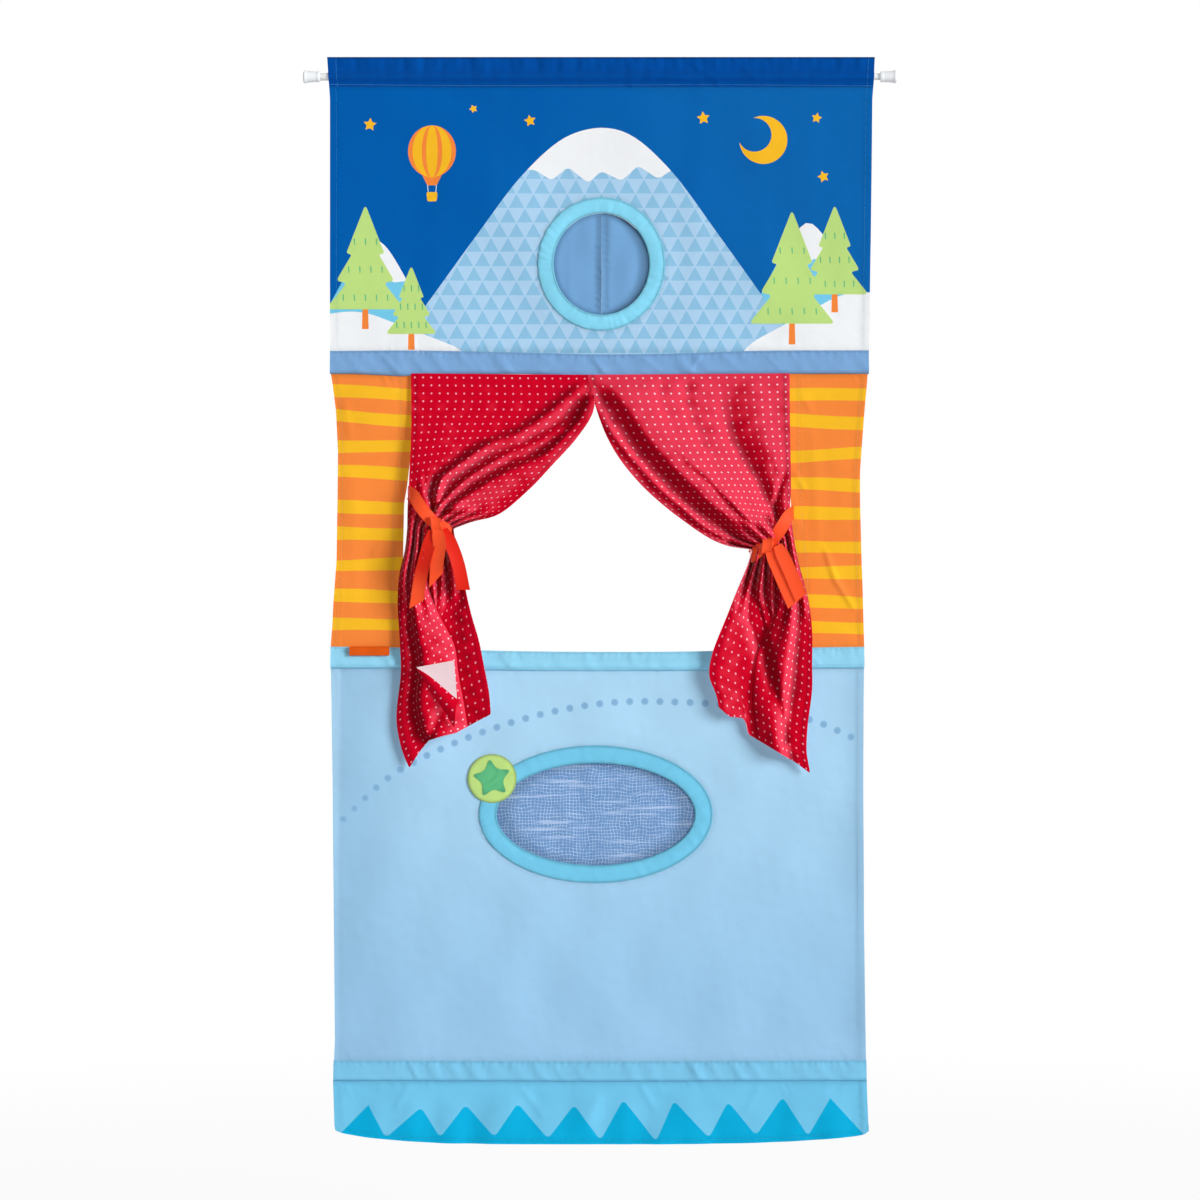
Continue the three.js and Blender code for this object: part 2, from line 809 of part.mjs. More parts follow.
function addTail(curtain) {
  const top = drapeEndOf(curtain) - tailHingeGap;
  const place = (across, down) => {
    const share = down * readTable(curtain.hemShares, across);
    const outer = readTable(curtain.tailOuterShares, share);
    const inner = readTable(curtain.tailInnerShares, share);
    const inwards = outer + (inner - outer) * across;
    const clear = THREE.MathUtils.smoothstep(down, 0, tailClearShare);
    const back = bundleBack + (tailBack - bundleBack) * clear;
    const depth = bundleDepth + (tailDepth - bundleDepth) * down;
    return new THREE.Vector3(
      inwardsFromPillar(curtain, inwards * tailSpread),
      curtainFront - back - depth * depthOfFold(across),
      top - share * curtain.tailDrop,
    );
  };
  const geometry = clothSheet(tailColumns, tailRows, place, curtainThickness);
  addPiece(banner, curtain.word + "_curtain_tail", geometry, finishes.redCloth);
}

// Tie ribbons: a loop round the gathered cloth, a knot in front and loose ends under it
const bundleFront = curtainFront - bundleBack - bundleDepth - curtainThickness / 2;
const loopFront = bundleFront - clearance - ribbonThickness / 2;
const loopBack = clothThickness / 2 + clearance + ribbonThickness;
const loopEase = clearance + ribbonThickness / 2;
const knotY = loopFront - ribbonThickness / 2 - clearance - knotDepth / 2;

function addTie(curtain) {
  const { word, side, loopRise, looseEnds } = curtain;
  const drapeEnd = drapeEndOf(curtain);
  const knotX = inwardsFromPillar(curtain, knotInwards);
  const knotZ = drapeEnd + knotHeight / 2 + tailHingeGap;
  const knot = new THREE.SphereGeometry(1, knotSegments, knotRings);
  knot.scale(knotWidth / 2, knotDepth / 2, knotHeight / 2);
  addPiece(banner, word + "_tie_knot", knot, finishes.ribbonOrange, knotX, knotY, knotZ);

  const innerZ = drapeEnd + ribbonWidth / 2 + clearance;
  const outerZ = innerZ + loopRise;
  const lowestOuterZ = outerZ - ribbonWidth / 2;
  const highestInnerZ = innerZ + ribbonWidth / 2;
  const outside = edgeX(curtain, curtain.outerShares, lowestOuterZ) + side * loopEase;
  const inside = edgeX(curtain, curtain.freeShares, highestInnerZ) - side * (loopEase + loopSlack);
  const turn = (shares, edge, inwards) =>
    shares.map(([widths, forwards, up]) => {
      const x = edge + inwards * widths * ribbonWidth;
      return new THREE.Vector3(x, loopBack + forwards * (loopFront - loopBack), innerZ + up * loopRise);
    });
  const places = [
    new THREE.Vector3(knotX - side * ribbonThickness, loopFront, innerZ + knotReachShare * loopRise),
    ...turn(outerTurnShares, outside, -side),
    new THREE.Vector3((outside + inside) / 2, loopBack, (outerZ + innerZ) / 2),
    ...turn(innerTurnShares, inside, side),
    new THREE.Vector3(knotX - side * (knotWidth / 2), loopFront, innerZ),
  ];
  const loop = new THREE.CatmullRomCurve3(places, false, "centripetal");
  const upright = new THREE.Vector3(0, 0, 1);
  const fullWidth = () => ribbonWidth;
  const strap = strip(loop.getSpacedPoints(loopSteps), upright, fullWidth, ribbonThickness);
  addPiece(banner, word + "_tie_strap", strap, finishes.ribbonOrange);

  const sideways = new THREE.Vector3(1, 0, 0);
  const widthAt = (along) => ribbonWidth * Math.min(1, gatheredShare + 2 * along);
  for (const { name, startShare, tipShare, length, layer } of looseEnds) {
    const start = new THREE.Vector3(
      knotX - side * startShare * knotWidth,
      knotY - layer * (clearance + ribbonThickness),
      knotZ - knotHeight / 2 - clearance,
    );
    const tip = new THREE.Vector3(
      start.x - side * tipShare * length,
      start.y,
      start.z - length * Math.sqrt(1 - tipShare ** 2),
    );
    const path = [];
    for (let step = 0; step <= looseEndSteps; step++)
      path.push(start.clone().lerp(tip, step / looseEndSteps));
    const ribbon = strip(path, sideways, widthAt, ribbonThickness);
    addPiece(banner, word + "_tie_end_" + name, ribbon, finishes.ribbonOrange);
  }
}

const curtains = [
  {
    word: "left",
    side: -1,
    outerShares: leftOuterShares,
    freeShares: leftFreeShares,
    tailOuterShares: leftTailOuterShares,
    tailInnerShares: leftTailInnerShares,
    hemShares: leftHemShares,
    tailDrop: leftTailDrop,
    loopRise: leftLoopRise,
    looseEnds: [
      { name: "outer", startShare: -0.3, tipShare: -0.2, length: leftOuterEndLength, layer: 0 },
      { name: "middle", startShare: 0, tipShare: -0.07, length: leftMiddleEndLength, layer: 1 },
      { name: "inner", startShare: 0.32, tipShare: 0.26, length: leftInnerEndLength, layer: 0 },
    ],
  },
  {
    word: "right",
    side: 1,
    outerShares: rightOuterShares,
    freeShares: rightFreeShares,
    tailOuterShares: rightTailOuterShares,
    tailInnerShares: rightTailInnerShares,
    hemShares: rightHemShares,
    tailDrop: rightTailDrop,
    loopRise: rightLoopRise,
    looseEnds: [
      { name: "inner", startShare: 0, tipShare: -0.36, length: rightInnerEndLength, layer: 0 },
      { name: "outer", startShare: -0.2, tipShare: -0.62, length: rightOuterEndLength, layer: 1 },
    ],
  },
];
for (const curtain of curtains) {
  addDrape(curtain);
  addTail(curtain);
  addTie(curtain);
}

// Lower panel with its oval window
const ovalZ = lowerPanelTop - ovalDrop;
const lowerPanelGeometry = plate(
  panelShape(
    bodyWidth,
    lowerPanelHeight,
    ovalOffset,
    -ovalDrop,
    ovalWidth + 2 * appliqueTuck,
    ovalHeight + 2 * appliqueTuck,
  ),
  clothThickness / 2,
  clothThickness,
  ovalSegments,
);
addPiece(banner, "lower_panel", lowerPanelGeometry, finishes.paleBlue, 0, 0, lowerPanelTop);
const ovalRing = ringGeometry(ovalWidth, ovalHeight, ovalRingWidth);
addPiece(banner, "oval_window_ring", ovalRing, finishes.windowCyan, ovalOffset, 0, ovalZ);
const ovalCloth = ellipse(
  new THREE.Shape(),
  ovalWidth / 2 + ovalClothMargin,
  ovalHeight / 2 + ovalClothMargin,
);
const ovalClothGeometry = plate(ovalCloth, behindPanel, clothThickness, ovalSegments);
addPiece(banner, "oval_window_cloth", ovalClothGeometry, finishes.pondBlue, ovalOffset, 0, ovalZ);

// Star badge on the ring's upper left
const badgeZ = lowerPanelTop - badgeDrop;
const badgeBack = appliqueBack - appliqueThickness - clearance;
const badgeShape = ellipse(new THREE.Shape(), badgeDiameter / 2, badgeDiameter / 2);
const badgeGeometry = plate(badgeShape, badgeBack, appliqueThickness, ovalSegments);
addPiece(banner, "badge_disc", badgeGeometry, finishes.limeCloth, badgeOffset, 0, badgeZ);
const starOutline = [];
for (let corner = 0; corner < 2 * starPoints; corner++) {
  const angle = Math.PI / 2 + (Math.PI * corner) / starPoints;
  const radius = (starDiameter / 2) * (corner % 2 ? starInnerShare : 1);
  starOutline.push([radius * Math.cos(angle), radius * Math.sin(angle)]);
}
const starBack = badgeBack - appliqueThickness - clearance;
const starGeometry = plate(shapeOf(starOutline), starBack, starThickness);
addPiece(banner, "badge_star", starGeometry, finishes.greenCloth, badgeOffset, 0, badgeZ);

// Valance under the base band, longer in its middle
const valanceHalf = bodyWidth / 2 + bandEase;
const valance = new THREE.Shape();
valance.moveTo(-valanceHalf, 0);
valance.lineTo(-valanceHalf, -valanceSideDrop);
valance.quadraticCurveTo(
  0,
  valanceSideDrop - 2 * valanceMiddleDrop,
  valanceHalf,
  -valanceSideDrop,
);
valance.lineTo(valanceHalf, 0);
const valanceGeometry = plate(valance, clothThickness / 2, clothThickness, ovalSegments);
addPiece(banner, "valance", valanceGeometry, finishes.valanceBlue, 0, 0, valanceTop);

// Blank label that hangs over the sill band
const labelLeft = -bodyWidth / 2 + labelInset;
const labelOutline = [
  [labelLeft, 0],
  [labelLeft, -labelHeight],
  [labelLeft + labelWidth, -labelHeight],
  [labelLeft + labelWidth, 0],
];
const labelGeometry = plate(shapeOf(labelOutline), bandFront - clearance, appliqueThickness);
addPiece(banner, "side_label", labelGeometry, finishes.labelOrange, 0, 0, sillBandTop - labelDrop);

export default theatre;
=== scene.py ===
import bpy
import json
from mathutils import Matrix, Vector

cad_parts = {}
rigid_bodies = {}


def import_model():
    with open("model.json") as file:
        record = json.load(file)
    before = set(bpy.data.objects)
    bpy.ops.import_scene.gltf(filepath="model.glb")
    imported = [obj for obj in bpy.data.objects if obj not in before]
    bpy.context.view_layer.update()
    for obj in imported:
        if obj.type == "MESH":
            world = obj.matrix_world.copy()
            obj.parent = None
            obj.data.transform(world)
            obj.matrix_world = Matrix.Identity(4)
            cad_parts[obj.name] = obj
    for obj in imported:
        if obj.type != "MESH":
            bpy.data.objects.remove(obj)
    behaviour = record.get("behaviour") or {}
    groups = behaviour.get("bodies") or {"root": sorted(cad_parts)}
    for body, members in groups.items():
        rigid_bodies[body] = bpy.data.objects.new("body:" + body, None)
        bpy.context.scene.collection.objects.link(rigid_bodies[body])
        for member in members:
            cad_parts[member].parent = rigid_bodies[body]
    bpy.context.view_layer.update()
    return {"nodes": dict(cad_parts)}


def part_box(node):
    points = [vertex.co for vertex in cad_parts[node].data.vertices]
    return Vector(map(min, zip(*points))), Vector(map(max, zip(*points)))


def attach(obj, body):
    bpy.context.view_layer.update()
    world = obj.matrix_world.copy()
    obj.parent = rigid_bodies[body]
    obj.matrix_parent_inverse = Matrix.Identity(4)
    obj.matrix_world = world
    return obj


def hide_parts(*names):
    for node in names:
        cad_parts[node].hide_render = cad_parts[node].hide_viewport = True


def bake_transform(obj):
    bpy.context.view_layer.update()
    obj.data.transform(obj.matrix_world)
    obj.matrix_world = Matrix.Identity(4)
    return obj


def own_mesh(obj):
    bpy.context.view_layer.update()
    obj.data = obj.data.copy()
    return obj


bl_info = {
    "name": "Doorway puppet theatre",
    "version": (1, 0, 0),
    "blender": (4, 5, 0),
    "location": "3D View > Sidebar > Theatre",
    "description": "Builds a sewn doorway puppet theatre round its packed frame",
    "category": "Object",
}

import json
import math
import random
from collections import namedtuple

import bmesh
import bpy
import numpy as np
from bpy.props import FloatProperty, FloatVectorProperty, IntProperty, PointerProperty
from mathutils import Matrix, Vector
from mathutils.geometry import delaunay_2d_cdt

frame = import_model()

# The photograph: its scale at the cloth, and the pixels of the rod's middle
METRES_PER_PIXEL = 0.0015
ROD_COLUMN = 600
ROD_ROW = 76.7

# The banner's side edges as [row, column] in the photograph, from the top down
LEFT_EDGE = (
    (57, 327.2), (84, 329), (98, 330), (370, 330), (382, 332.3), (411, 336), (452, 338), (500, 337.6),
    (560, 336.5), (600, 333.6), (625, 332.4), (650, 330.4), (700, 331.4), (760, 332.3), (850, 333.2),
    (940, 334), (1040, 335), (1080, 333), (1125, 334.5), (1160, 335),
)
RIGHT_EDGE = (
    (57, 874.8), (84, 873.5), (98, 872.4), (180, 871.5), (360, 869), (380, 867.2), (411, 864.5),
    (450, 861.5), (473, 860), (500, 860), (560, 861.5), (590, 862.7), (650, 864.3), (700, 863.6),
    (800, 863.3), (920, 864), (1000, 865), (1060, 866), (1125, 868.3), (1160, 868.5),
)


def photo_x(column):
    """Place along X of a column of the photograph, in metres."""
    return (np.asarray(column, float) - ROD_COLUMN) * METRES_PER_PIXEL


def photo_z(row):
    """Height of a row of the photograph, in metres."""
    return (ROD_ROW - np.asarray(row, float)) * METRES_PER_PIXEL


def photo_points(pixels):
    """Points in X and Z from (column, row) pixels."""
    places = np.asarray(pixels, float)
    return np.column_stack((photo_x(places[:, 0]), photo_z(places[:, 1])))


def edge_at(edge, z):
    """Place along X of one of the banner's side edges at a height."""
    rows, columns = np.asarray(edge, float).T
    return np.interp(-np.asarray(z, float), -photo_z(rows), photo_x(columns))


# Sizes and colours that a user would change
def length(name, description, default):
    return FloatProperty(name=name, description=description, default=default, unit="LENGTH")


def tint(name, description, default):
    kind = {"subtype": "COLOR", "size": 3, "min": 0, "max": 1}
    return FloatVectorProperty(name=name, description=description, default=default, **kind)


class TheatreCloth(bpy.types.PropertyGroup):
    """How the banner's cloth is cut, sewn and creased."""

    thickness: length("Cloth thickness", "Thickness of one layer of cotton", 0.0009)
    grid_step: length("Grid step", "Spacing of the points inside a sheet", 0.005)
    wave_depth: length("Wave depth", "Depth of the broad waves in a hanging panel", 0.0014)
    wave_length: length("Wave length", "Size of the broad waves", 0.16)
    crinkle_depth: length("Crinkle depth", "Depth of the small crinkles", 0.00016)
    crinkle_length: length("Crinkle length", "Size of the small crinkles", 0.035)
    pucker_depth: length("Pucker depth", "Depth of the puckers beside a seam", 0.0006)
    pucker_pitch: length("Pucker pitch", "Distance from one pucker to the next", 0.011)
    pucker_reach: length("Pucker reach", "How far the puckers run from their seam", 0.014)
    hem_width: length("Hem width", "Width of the turned side hems", 0.0095)
    hem_rise: length("Hem rise", "Height of a turned hem over the cloth beside it", 0.0005)
    seam_tuck: length("Seam tuck", "How far a sheet runs into the seam that holds it", 0.003)
    stitch_length: length("Stitch length", "Length of one stitch", 0.0026)
    stitch_gap: length("Stitch gap", "Gap from one stitch to the next", 0.0008)
    thread_width: length("Thread width", "Thickness of the sewing thread", 0.00045)
    weave_pitch: length("Weave pitch", "Distance between threads of the cotton", 0.0007)


class TheatreCurtains(bpy.types.PropertyGroup):
    """How the curtains are cut, gathered and printed."""

    thickness: length("Cloth thickness", "Thickness of the curtain cloth", 0.0008)
    flat_height: length("Flat height", "Height of a curtain before it is gathered", 0.61)
    columns: IntProperty(name="Columns", description="Faces across a curtain", default=76)
    drape_rows: IntProperty(name="Rows above the tie", description="Faces down to the tie", default=60)
    tail_rows: IntProperty(name="Rows under the tie", description="Faces under the tie", default=64)
    pleats: FloatProperty(name="Pleats", description="Pleats in the tied bundle", default=6.5)
    bundle_depth: length("Bundle depth", "Depth of the pleats where a curtain is tied", 0.019)
    fold_scale: FloatProperty(name="Fold scale", description="Height of the drape's folds", default=1.0)
    dot_pitch: length("Dot pitch", "Distance from one printed dot to the next", 0.0123)
    dot_diameter: length("Dot diameter", "Width of a printed dot", 0.0028)


class TheatreStudio(bpy.types.PropertyGroup):
    """The camera, the lights and the floor."""

    camera_distance: length("Camera distance", "From the camera to the cloth", 6.0)
    view_row: FloatProperty(name="View row", description="Photograph's middle row", default=600)
    frame_pixels: IntProperty(name="Frame", description="Photograph's width in pixels", default=1200)
    sensor_width: FloatProperty(name="Sensor width", description="Camera sensor, in mm", default=36)
    key_strength: FloatProperty(name="Key strength", description="Strength of the key light", default=3.2)
    fill_strength: FloatProperty(name="Fill strength", description="Strength of the fill light", default=0.35)
    back_strength: FloatProperty(name="Back strength", description="Light from behind", default=1.7)
    world_strength: FloatProperty(name="World strength", description="Light from all round", default=0.27)
    floor_drop: length("Floor drop", "From the rod down to the floor", 1.75)


class TheatreColours(bpy.types.PropertyGroup):
    """Colours of the finishes."""

    sleeve: tint("Sleeve blue", "Cloth of the rod sleeve", (0.0005, 0.072, 0.345))
    sky: tint("Sky blue", "Ground of the upper panel", (0.0005, 0.108, 0.415))
    tile_light: tint("Light tiles", "Light triangles of the mountain", (0.42, 0.645, 0.865))
    tile_dark: tint("Dark tiles", "Dark triangles of the mountain", (0.27, 0.54, 0.77))
    snow: tint("Snow", "White of the print", (0.88, 0.9, 0.92))
    lime: tint("Lime", "Fir trees and badge", (0.51, 0.73, 0.22))
    leaf: tint("Leaf green", "Marks on the firs and the badge's star", (0.114, 0.491, 0.223))
    yellow: tint("Yellow", "Stripes, moon and stars", (0.95, 0.505, 0.019))
    orange: tint("Orange", "Pillars", (0.93, 0.247, 0.044))
    cyan: tint("Window cyan", "Rings round the windows", (0.175, 0.585, 0.82))
    flap: tint("Flap blue", "Flaps of the round window", (0.175, 0.38, 0.665))
    header: tint("Header blue", "Band over the stage", (0.198, 0.386, 0.672))
    curtain: tint("Curtain red", "Ground of the curtains", (0.62, 0.0005, 0.018))
    # Painted highlight: the satin's sheen, painted into the curtains' red where the folds lean towards the
    # key light.
    curtain_bloom: tint("Curtain sheen", "Red where the satin catches the light", (0.79, 0.045, 0.09))
    curtain_dot: tint("Curtain dots", "Dots of the curtains", (0.93, 0.36, 0.48))
    # Painted highlight on the dots, read through the same sheen mask.
    curtain_dot_lit: tint("Lit curtain dots", "Dots where the satin catches the light", (0.95, 0.70, 0.76))
    lining: tint("Lining", "Reverse of the curtains", (0.823, 0.624, 0.658))
    ribbon: tint("Ribbon", "Tie ribbons", (0.93, 0.085, 0.022))
    ribbon_reverse: tint("Ribbon reverse", "Matte side of the ribbons", (0.70, 0.017, 0.006))
    sill: tint("Sill blue", "Band under the stage", (0.292, 0.672, 0.89))
    panel: tint("Panel blue", "Lower panel", (0.412, 0.675, 0.885))
    # Painted shade: the darker blue that the lower panel takes towards its foot and its sides.
    panel_low: tint("Panel blue, low", "Lower panel near its foot", (0.312, 0.562, 0.805))
    dot: tint("Arc dots", "Dotted arc of the lower panel", (0.265, 0.505, 0.76))
    pond: tint("Pond blue", "Cloth behind the oval window", (0.14, 0.285, 0.565))
    pond_line: tint("Pond lines", "Wobbly lines of that cloth", (0.47, 0.63, 0.84))
    pond_patch: tint("Pond patches", "Pale streaks of that cloth", (0.40, 0.54, 0.80))
    base: tint("Base blue", "Band over the valance", (0.198, 0.546, 0.791))
    valance: tint("Valance blue", "Valance", (0.163, 0.545, 0.80))
    zigzag: tint("Zigzag blue", "Zigzag of the valance", (0.0005, 0.405, 0.695))
    label: tint("Label orange", "Side label", (0.68, 0.091, 0.004))
    enamel: tint("Enamel", "Tubes of the rod", (0.86, 0.87, 0.88))
    plastic: tint("Plastic", "Caps of the rod", (0.84, 0.86, 0.88))
    rubber: tint("Rubber", "Pads in the caps", (0.74, 0.74, 0.71))
    steel: tint("Steel", "Spring", (0.42, 0.43, 0.45))
    grey: tint("Grey plastic", "Plugs inside the rod", (0.45, 0.47, 0.5))
    birch: tint("Birch", "Dowels in the bands", (0.70, 0.50, 0.27))


def cloth():
    return bpy.context.scene.theatre_cloth


def curtains():
    return bpy.context.scene.theatre_curtains


def studio():
    return bpy.context.scene.theatre_studio


def colours():
    return bpy.context.scene.theatre_colours


# Shader nodes
def feed(tree, sockets, values):
    """Link each value that is a socket, and set any other."""
    for key, value in values.items():
        if isinstance(value, bpy.types.NodeSocket):
            tree.links.new(value, sockets[key])
        else:
            sockets[key].default_value = value


def node(tree, kind, inputs=None, **settings):
    """Add a shader node with its settings and inputs."""
    made = tree.nodes.new("ShaderNode" + kind)
    for name, value in settings.items():
        setattr(made, name, value)
    feed(tree, made.inputs, inputs or {})
    return made


def parts(tree, vector):
    """The X, Y and Z of a vector."""
    return node(tree, "SeparateXYZ", {0: vector}).outputs


def stretched(tree, vector, scale):
    """A vector scaled along each axis."""
    return node(tree, "Mapping", {0: vector, 3: scale}).outputs[0]


def painted(tree, name):
    """A value that the mesh carries at each of its points."""
    return node(tree, "Attribute", attribute_name=name).outputs["Fac"]


def maths(tree, operation, *values):
    return node(tree, "Math", dict(enumerate(values)), operation=operation).outputs[0]


def plus(tree, first, second):
    return maths(tree, "ADD", first, second)


def minus(tree, first, second):
    return maths(tree, "SUBTRACT", first, second)


def times(tree, first, second):
    return maths(tree, "MULTIPLY", first, second)


def mixed(tree, factor, first, second, blend="MIX"):
    """Mix two colours, each a socket or a value with four parts."""
    inputs = {0: factor, 6: first, 7: second}
    return node(tree, "Mix", inputs, data_type="RGBA", blend_type=blend).outputs[2]


def shaded(tree, colour, shade):
    """A colour times a shade of grey."""
    grey = node(tree, "CombineXYZ", {0: shade, 1: shade, 2: shade}).outputs[0]
    return mixed(tree, 1.0, colour, grey, "MULTIPLY")


def spread(tree, value, low, high, to_low=0.0, to_high=1.0):
    """Map a value smoothly from one range to another."""
    inputs = {0: value, 1: low, 2: high, 3: to_low, 4: to_high}
    return node(tree, "MapRange", inputs, interpolation_type="SMOOTHSTEP").outputs[0]


def noise(tree, vector, scale, detail=2.0, rough=0.5):
    inputs = {"Vector": vector, "Scale": scale, "Detail": detail, "Roughness": rough}
    return node(tree, "TexNoise", inputs).outputs[0]


def solid(colour, times=1.0):
    """A colour with its fourth part, darker or paler where asked."""
    return (*(part * times for part in colour), 1.0)


def new_group(name, inputs, outputs):
    """A shader node group with named sockets: its tree, the sockets that come in and those that go out."""
    tree = bpy.data.node_groups.new(name, "ShaderNodeTree")
    for socket, (kind, value) in inputs.items():
        made = tree.interface.new_socket(name=socket, in_out="INPUT", socket_type="NodeSocket" + kind)
        if value is not None:
            made.default_value = value
    for socket, kind in outputs.items():
        tree.interface.new_socket(name=socket, in_out="OUTPUT", socket_type="NodeSocket" + kind)
    entry = tree.nodes.new("NodeGroupInput")
    result = tree.nodes.new("NodeGroupOutput")
    return tree, entry.outputs, result.inputs


def placed(tree, group, inputs):
    """A node group in a material, with its own values."""
    made = tree.nodes.new("ShaderNodeGroup")
    made.node_tree = group()
    feed(tree, made.inputs, inputs)
    return made.outputs


def built_once(build):
    """Keep the node group that a function builds, so every material shares it."""
    name = build.__name__

    def group():
        return bpy.data.node_groups.get(name) or build(name)

    return group


@built_once
def woven_cloth(name):
    """Plain weave with uneven threads and soft mottling, darker where the seam mask is high: painted shade
    along seams, in fold valleys, round the rings and where faces turn from the key light.
    """
    inputs = {
        "Vector": ("Vector", None),
        "Colour": ("Color", (0.5, 0.5, 0.5, 1)),
        "Thread Pitch": ("Float", 0.0007),
        "Thread Contrast": ("Float", 0.10),
        "Mottle": ("Float", 0.06),
        "Seam": ("Float", 0.0),
        "Seam Shade": ("Float", 0.12),
    }
    tree, entry, result = new_group(name, inputs, {"Colour": "Color", "Height": "Float", "Rough": "Float"})
    place = parts(tree, entry["Vector"])
    turn = maths(tree, "DIVIDE", math.pi, entry["Thread Pitch"])
    upright = plus(tree, place[1], place[2])
    across = maths(tree, "SINE", times(tree, place[0], turn))
    along = maths(tree, "SINE", times(tree, upright, turn))
    over = spread(tree, times(tree, across, along), -0.15, 0.15)
    warp = maths(tree, "ABSOLUTE", across)
    weft = maths(tree, "ABSOLUTE", along)
    thread = plus(tree, times(tree, warp, over), times(tree, weft, minus(tree, 1.0, over)))
    slub = noise(tree, entry["Vector"], 650.0, 1.0)
    broad = noise(tree, entry["Vector"], 9.0, 3.0)
    fine = noise(tree, entry["Vector"], 85.0, 3.0)
    uneven = plus(tree, minus(tree, broad, 0.5), times(tree, minus(tree, fine, 0.5), 0.7))
    shade = plus(tree, times(tree, uneven, entry["Mottle"]), 1.0)
    relief = minus(tree, plus(tree, thread, times(tree, slub, 0.6)), 0.95)
    shade = plus(tree, shade, times(tree, relief, entry["Thread Contrast"]))
    # Painted shade: the seam mask times Seam Shade darkens the colour along seams and wherever a piece marks
    # painted shade.
    dark = times(tree, entry["Seam"], entry["Seam Shade"])
    shade = times(tree, shade, minus(tree, 1.0, dark))
    colour = shaded(tree, entry["Colour"], shade)
    feed(tree, result, {"Colour": colour, "Height": thread, "Rough": spread(tree, fine, 0.3, 0.7, 0.8, 0.92)})
    return tree


@built_once
def printed_dots(name):
    """Round dots on an upright grid, with soft inked edges."""
    inputs = {"Vector": ("Vector", None), "Pitch": ("Float", 0.0123), "Diameter": ("Float", 0.0034)}
    tree, entry, result = new_group(name, inputs, {"Mask": "Float"})
    place = parts(tree, entry["Vector"])
    offsets = []
    for axis in (0, 1):
        cell = maths(tree, "FRACT", maths(tree, "DIVIDE", place[axis], entry["Pitch"]))
        offset = times(tree, minus(tree, cell, 0.5), entry["Pitch"])
        offsets.append(maths(tree, "POWER", offset, 2.0))
    away = maths(tree, "SQRT", plus(tree, *offsets))
    ratio = maths(tree, "DIVIDE", away, times(tree, entry["Diameter"], 0.5))
    feed(tree, result, {"Mask": spread(tree, ratio, 0.88, 1.1, 1.0, 0.0)})
    return tree


@built_once
def wobbly_lines(name):
    """A hand-drawn grid of thin lines, and soft patches behind it."""
    inputs = {"Vector": ("Vector", None), "Pitch": ("Float", 0.0048), "Line": ("Float", 0.16)}
    tree, entry, result = new_group(name, inputs, {"Lines": "Float", "Patches": "Float"})
    bent = node(tree, "TexNoise", {"Vector": entry["Vector"], "Scale": 38.0, "Detail": 2.0}).outputs[1]
    for operation, inputs in (
        ("SUBTRACT", {1: (0.5, 0.5, 0.5)}), ("SCALE", {"Scale": 0.011}), ("ADD", {1: entry["Vector"]}),
    ):
        bent = node(tree, "VectorMath", {0: bent, **inputs}, operation=operation).outputs[0]
    place = parts(tree, bent)
    strokes = []
    for axis in (0, 2):
        cell = maths(tree, "FRACT", maths(tree, "DIVIDE", place[axis], entry["Pitch"]))
        away = maths(tree, "ABSOLUTE", minus(tree, cell, 0.5))
        strokes.append(spread(tree, away, 0.0, entry["Line"], 1.0, 0.0))
    ink = noise(tree, entry["Vector"], 120.0, 2.0)
    lines = times(tree, maths(tree, "MAXIMUM", *strokes), spread(tree, ink, 0.3, 0.6, 0.45, 1.0))
    streaks = noise(tree, stretched(tree, entry["Vector"], (9.0, 1.0, 120.0)), 1.0, 2.0, 0.5)
    feed(tree, result, {"Lines": lines, "Patches": spread(tree, streaks, 0.55, 0.7)})
    return tree


@built_once
def scuffed_surface(name):
    """Fine scuffs and handling marks on enamel, plastic and metal."""
    inputs = {
        "Vector": ("Vector", None),
        "Colour": ("Color", (0.5, 0.5, 0.5, 1)),
        "Roughness": ("Float", 0.4),
        "Scuffs": ("Float", 0.1),
    }
    outputs = {"Colour": "Color", "Roughness": "Float", "Height": "Float"}
    tree, entry, result = new_group(name, inputs, outputs)
    streaks = noise(tree, stretched(tree, entry["Vector"], (3.0, 60.0, 60.0)), 12.0, 4.0, 0.6)
    marks = noise(tree, entry["Vector"], 240.0, 3.0, 0.6)
    both = times(tree, plus(tree, streaks, marks), 0.5)
    worn = spread(tree, both, 0.42, 0.62)
    shade = minus(tree, 1.0, times(tree, worn, entry["Scuffs"]))
    rough = plus(tree, entry["Roughness"], times(tree, worn, 0.15))
    feed(tree, result, {"Colour": shaded(tree, entry["Colour"], shade), "Roughness": rough, "Height": both})
    return tree


# Materials
FINISHES = {}


def made_once(build):
    """Keep the material that a function builds under its name, so like pieces share it."""

    def material(name, *values, **settings):
        if name not in FINISHES:
            FINISHES[name] = build(name, *values, **settings)
        return FINISHES[name]

    return material


def new_material(name):
    """A new material: itself, its node tree and its surface shader."""
    material = bpy.data.materials.new(name + "_finish")
    material.use_nodes = True
    tree = material.node_tree
    return material, tree, tree.nodes["Principled BSDF"]


def object_place(tree):
    return node(tree, "TexCoord").outputs["Object"]


def pattern_place(tree):
    return node(tree, "UVMap", uv_map="pattern").outputs[0]


def bump(tree, height, distance, strength):
    return node(tree, "Bump", {"Height": height, "Distance": distance, "Strength": strength}).outputs[0]


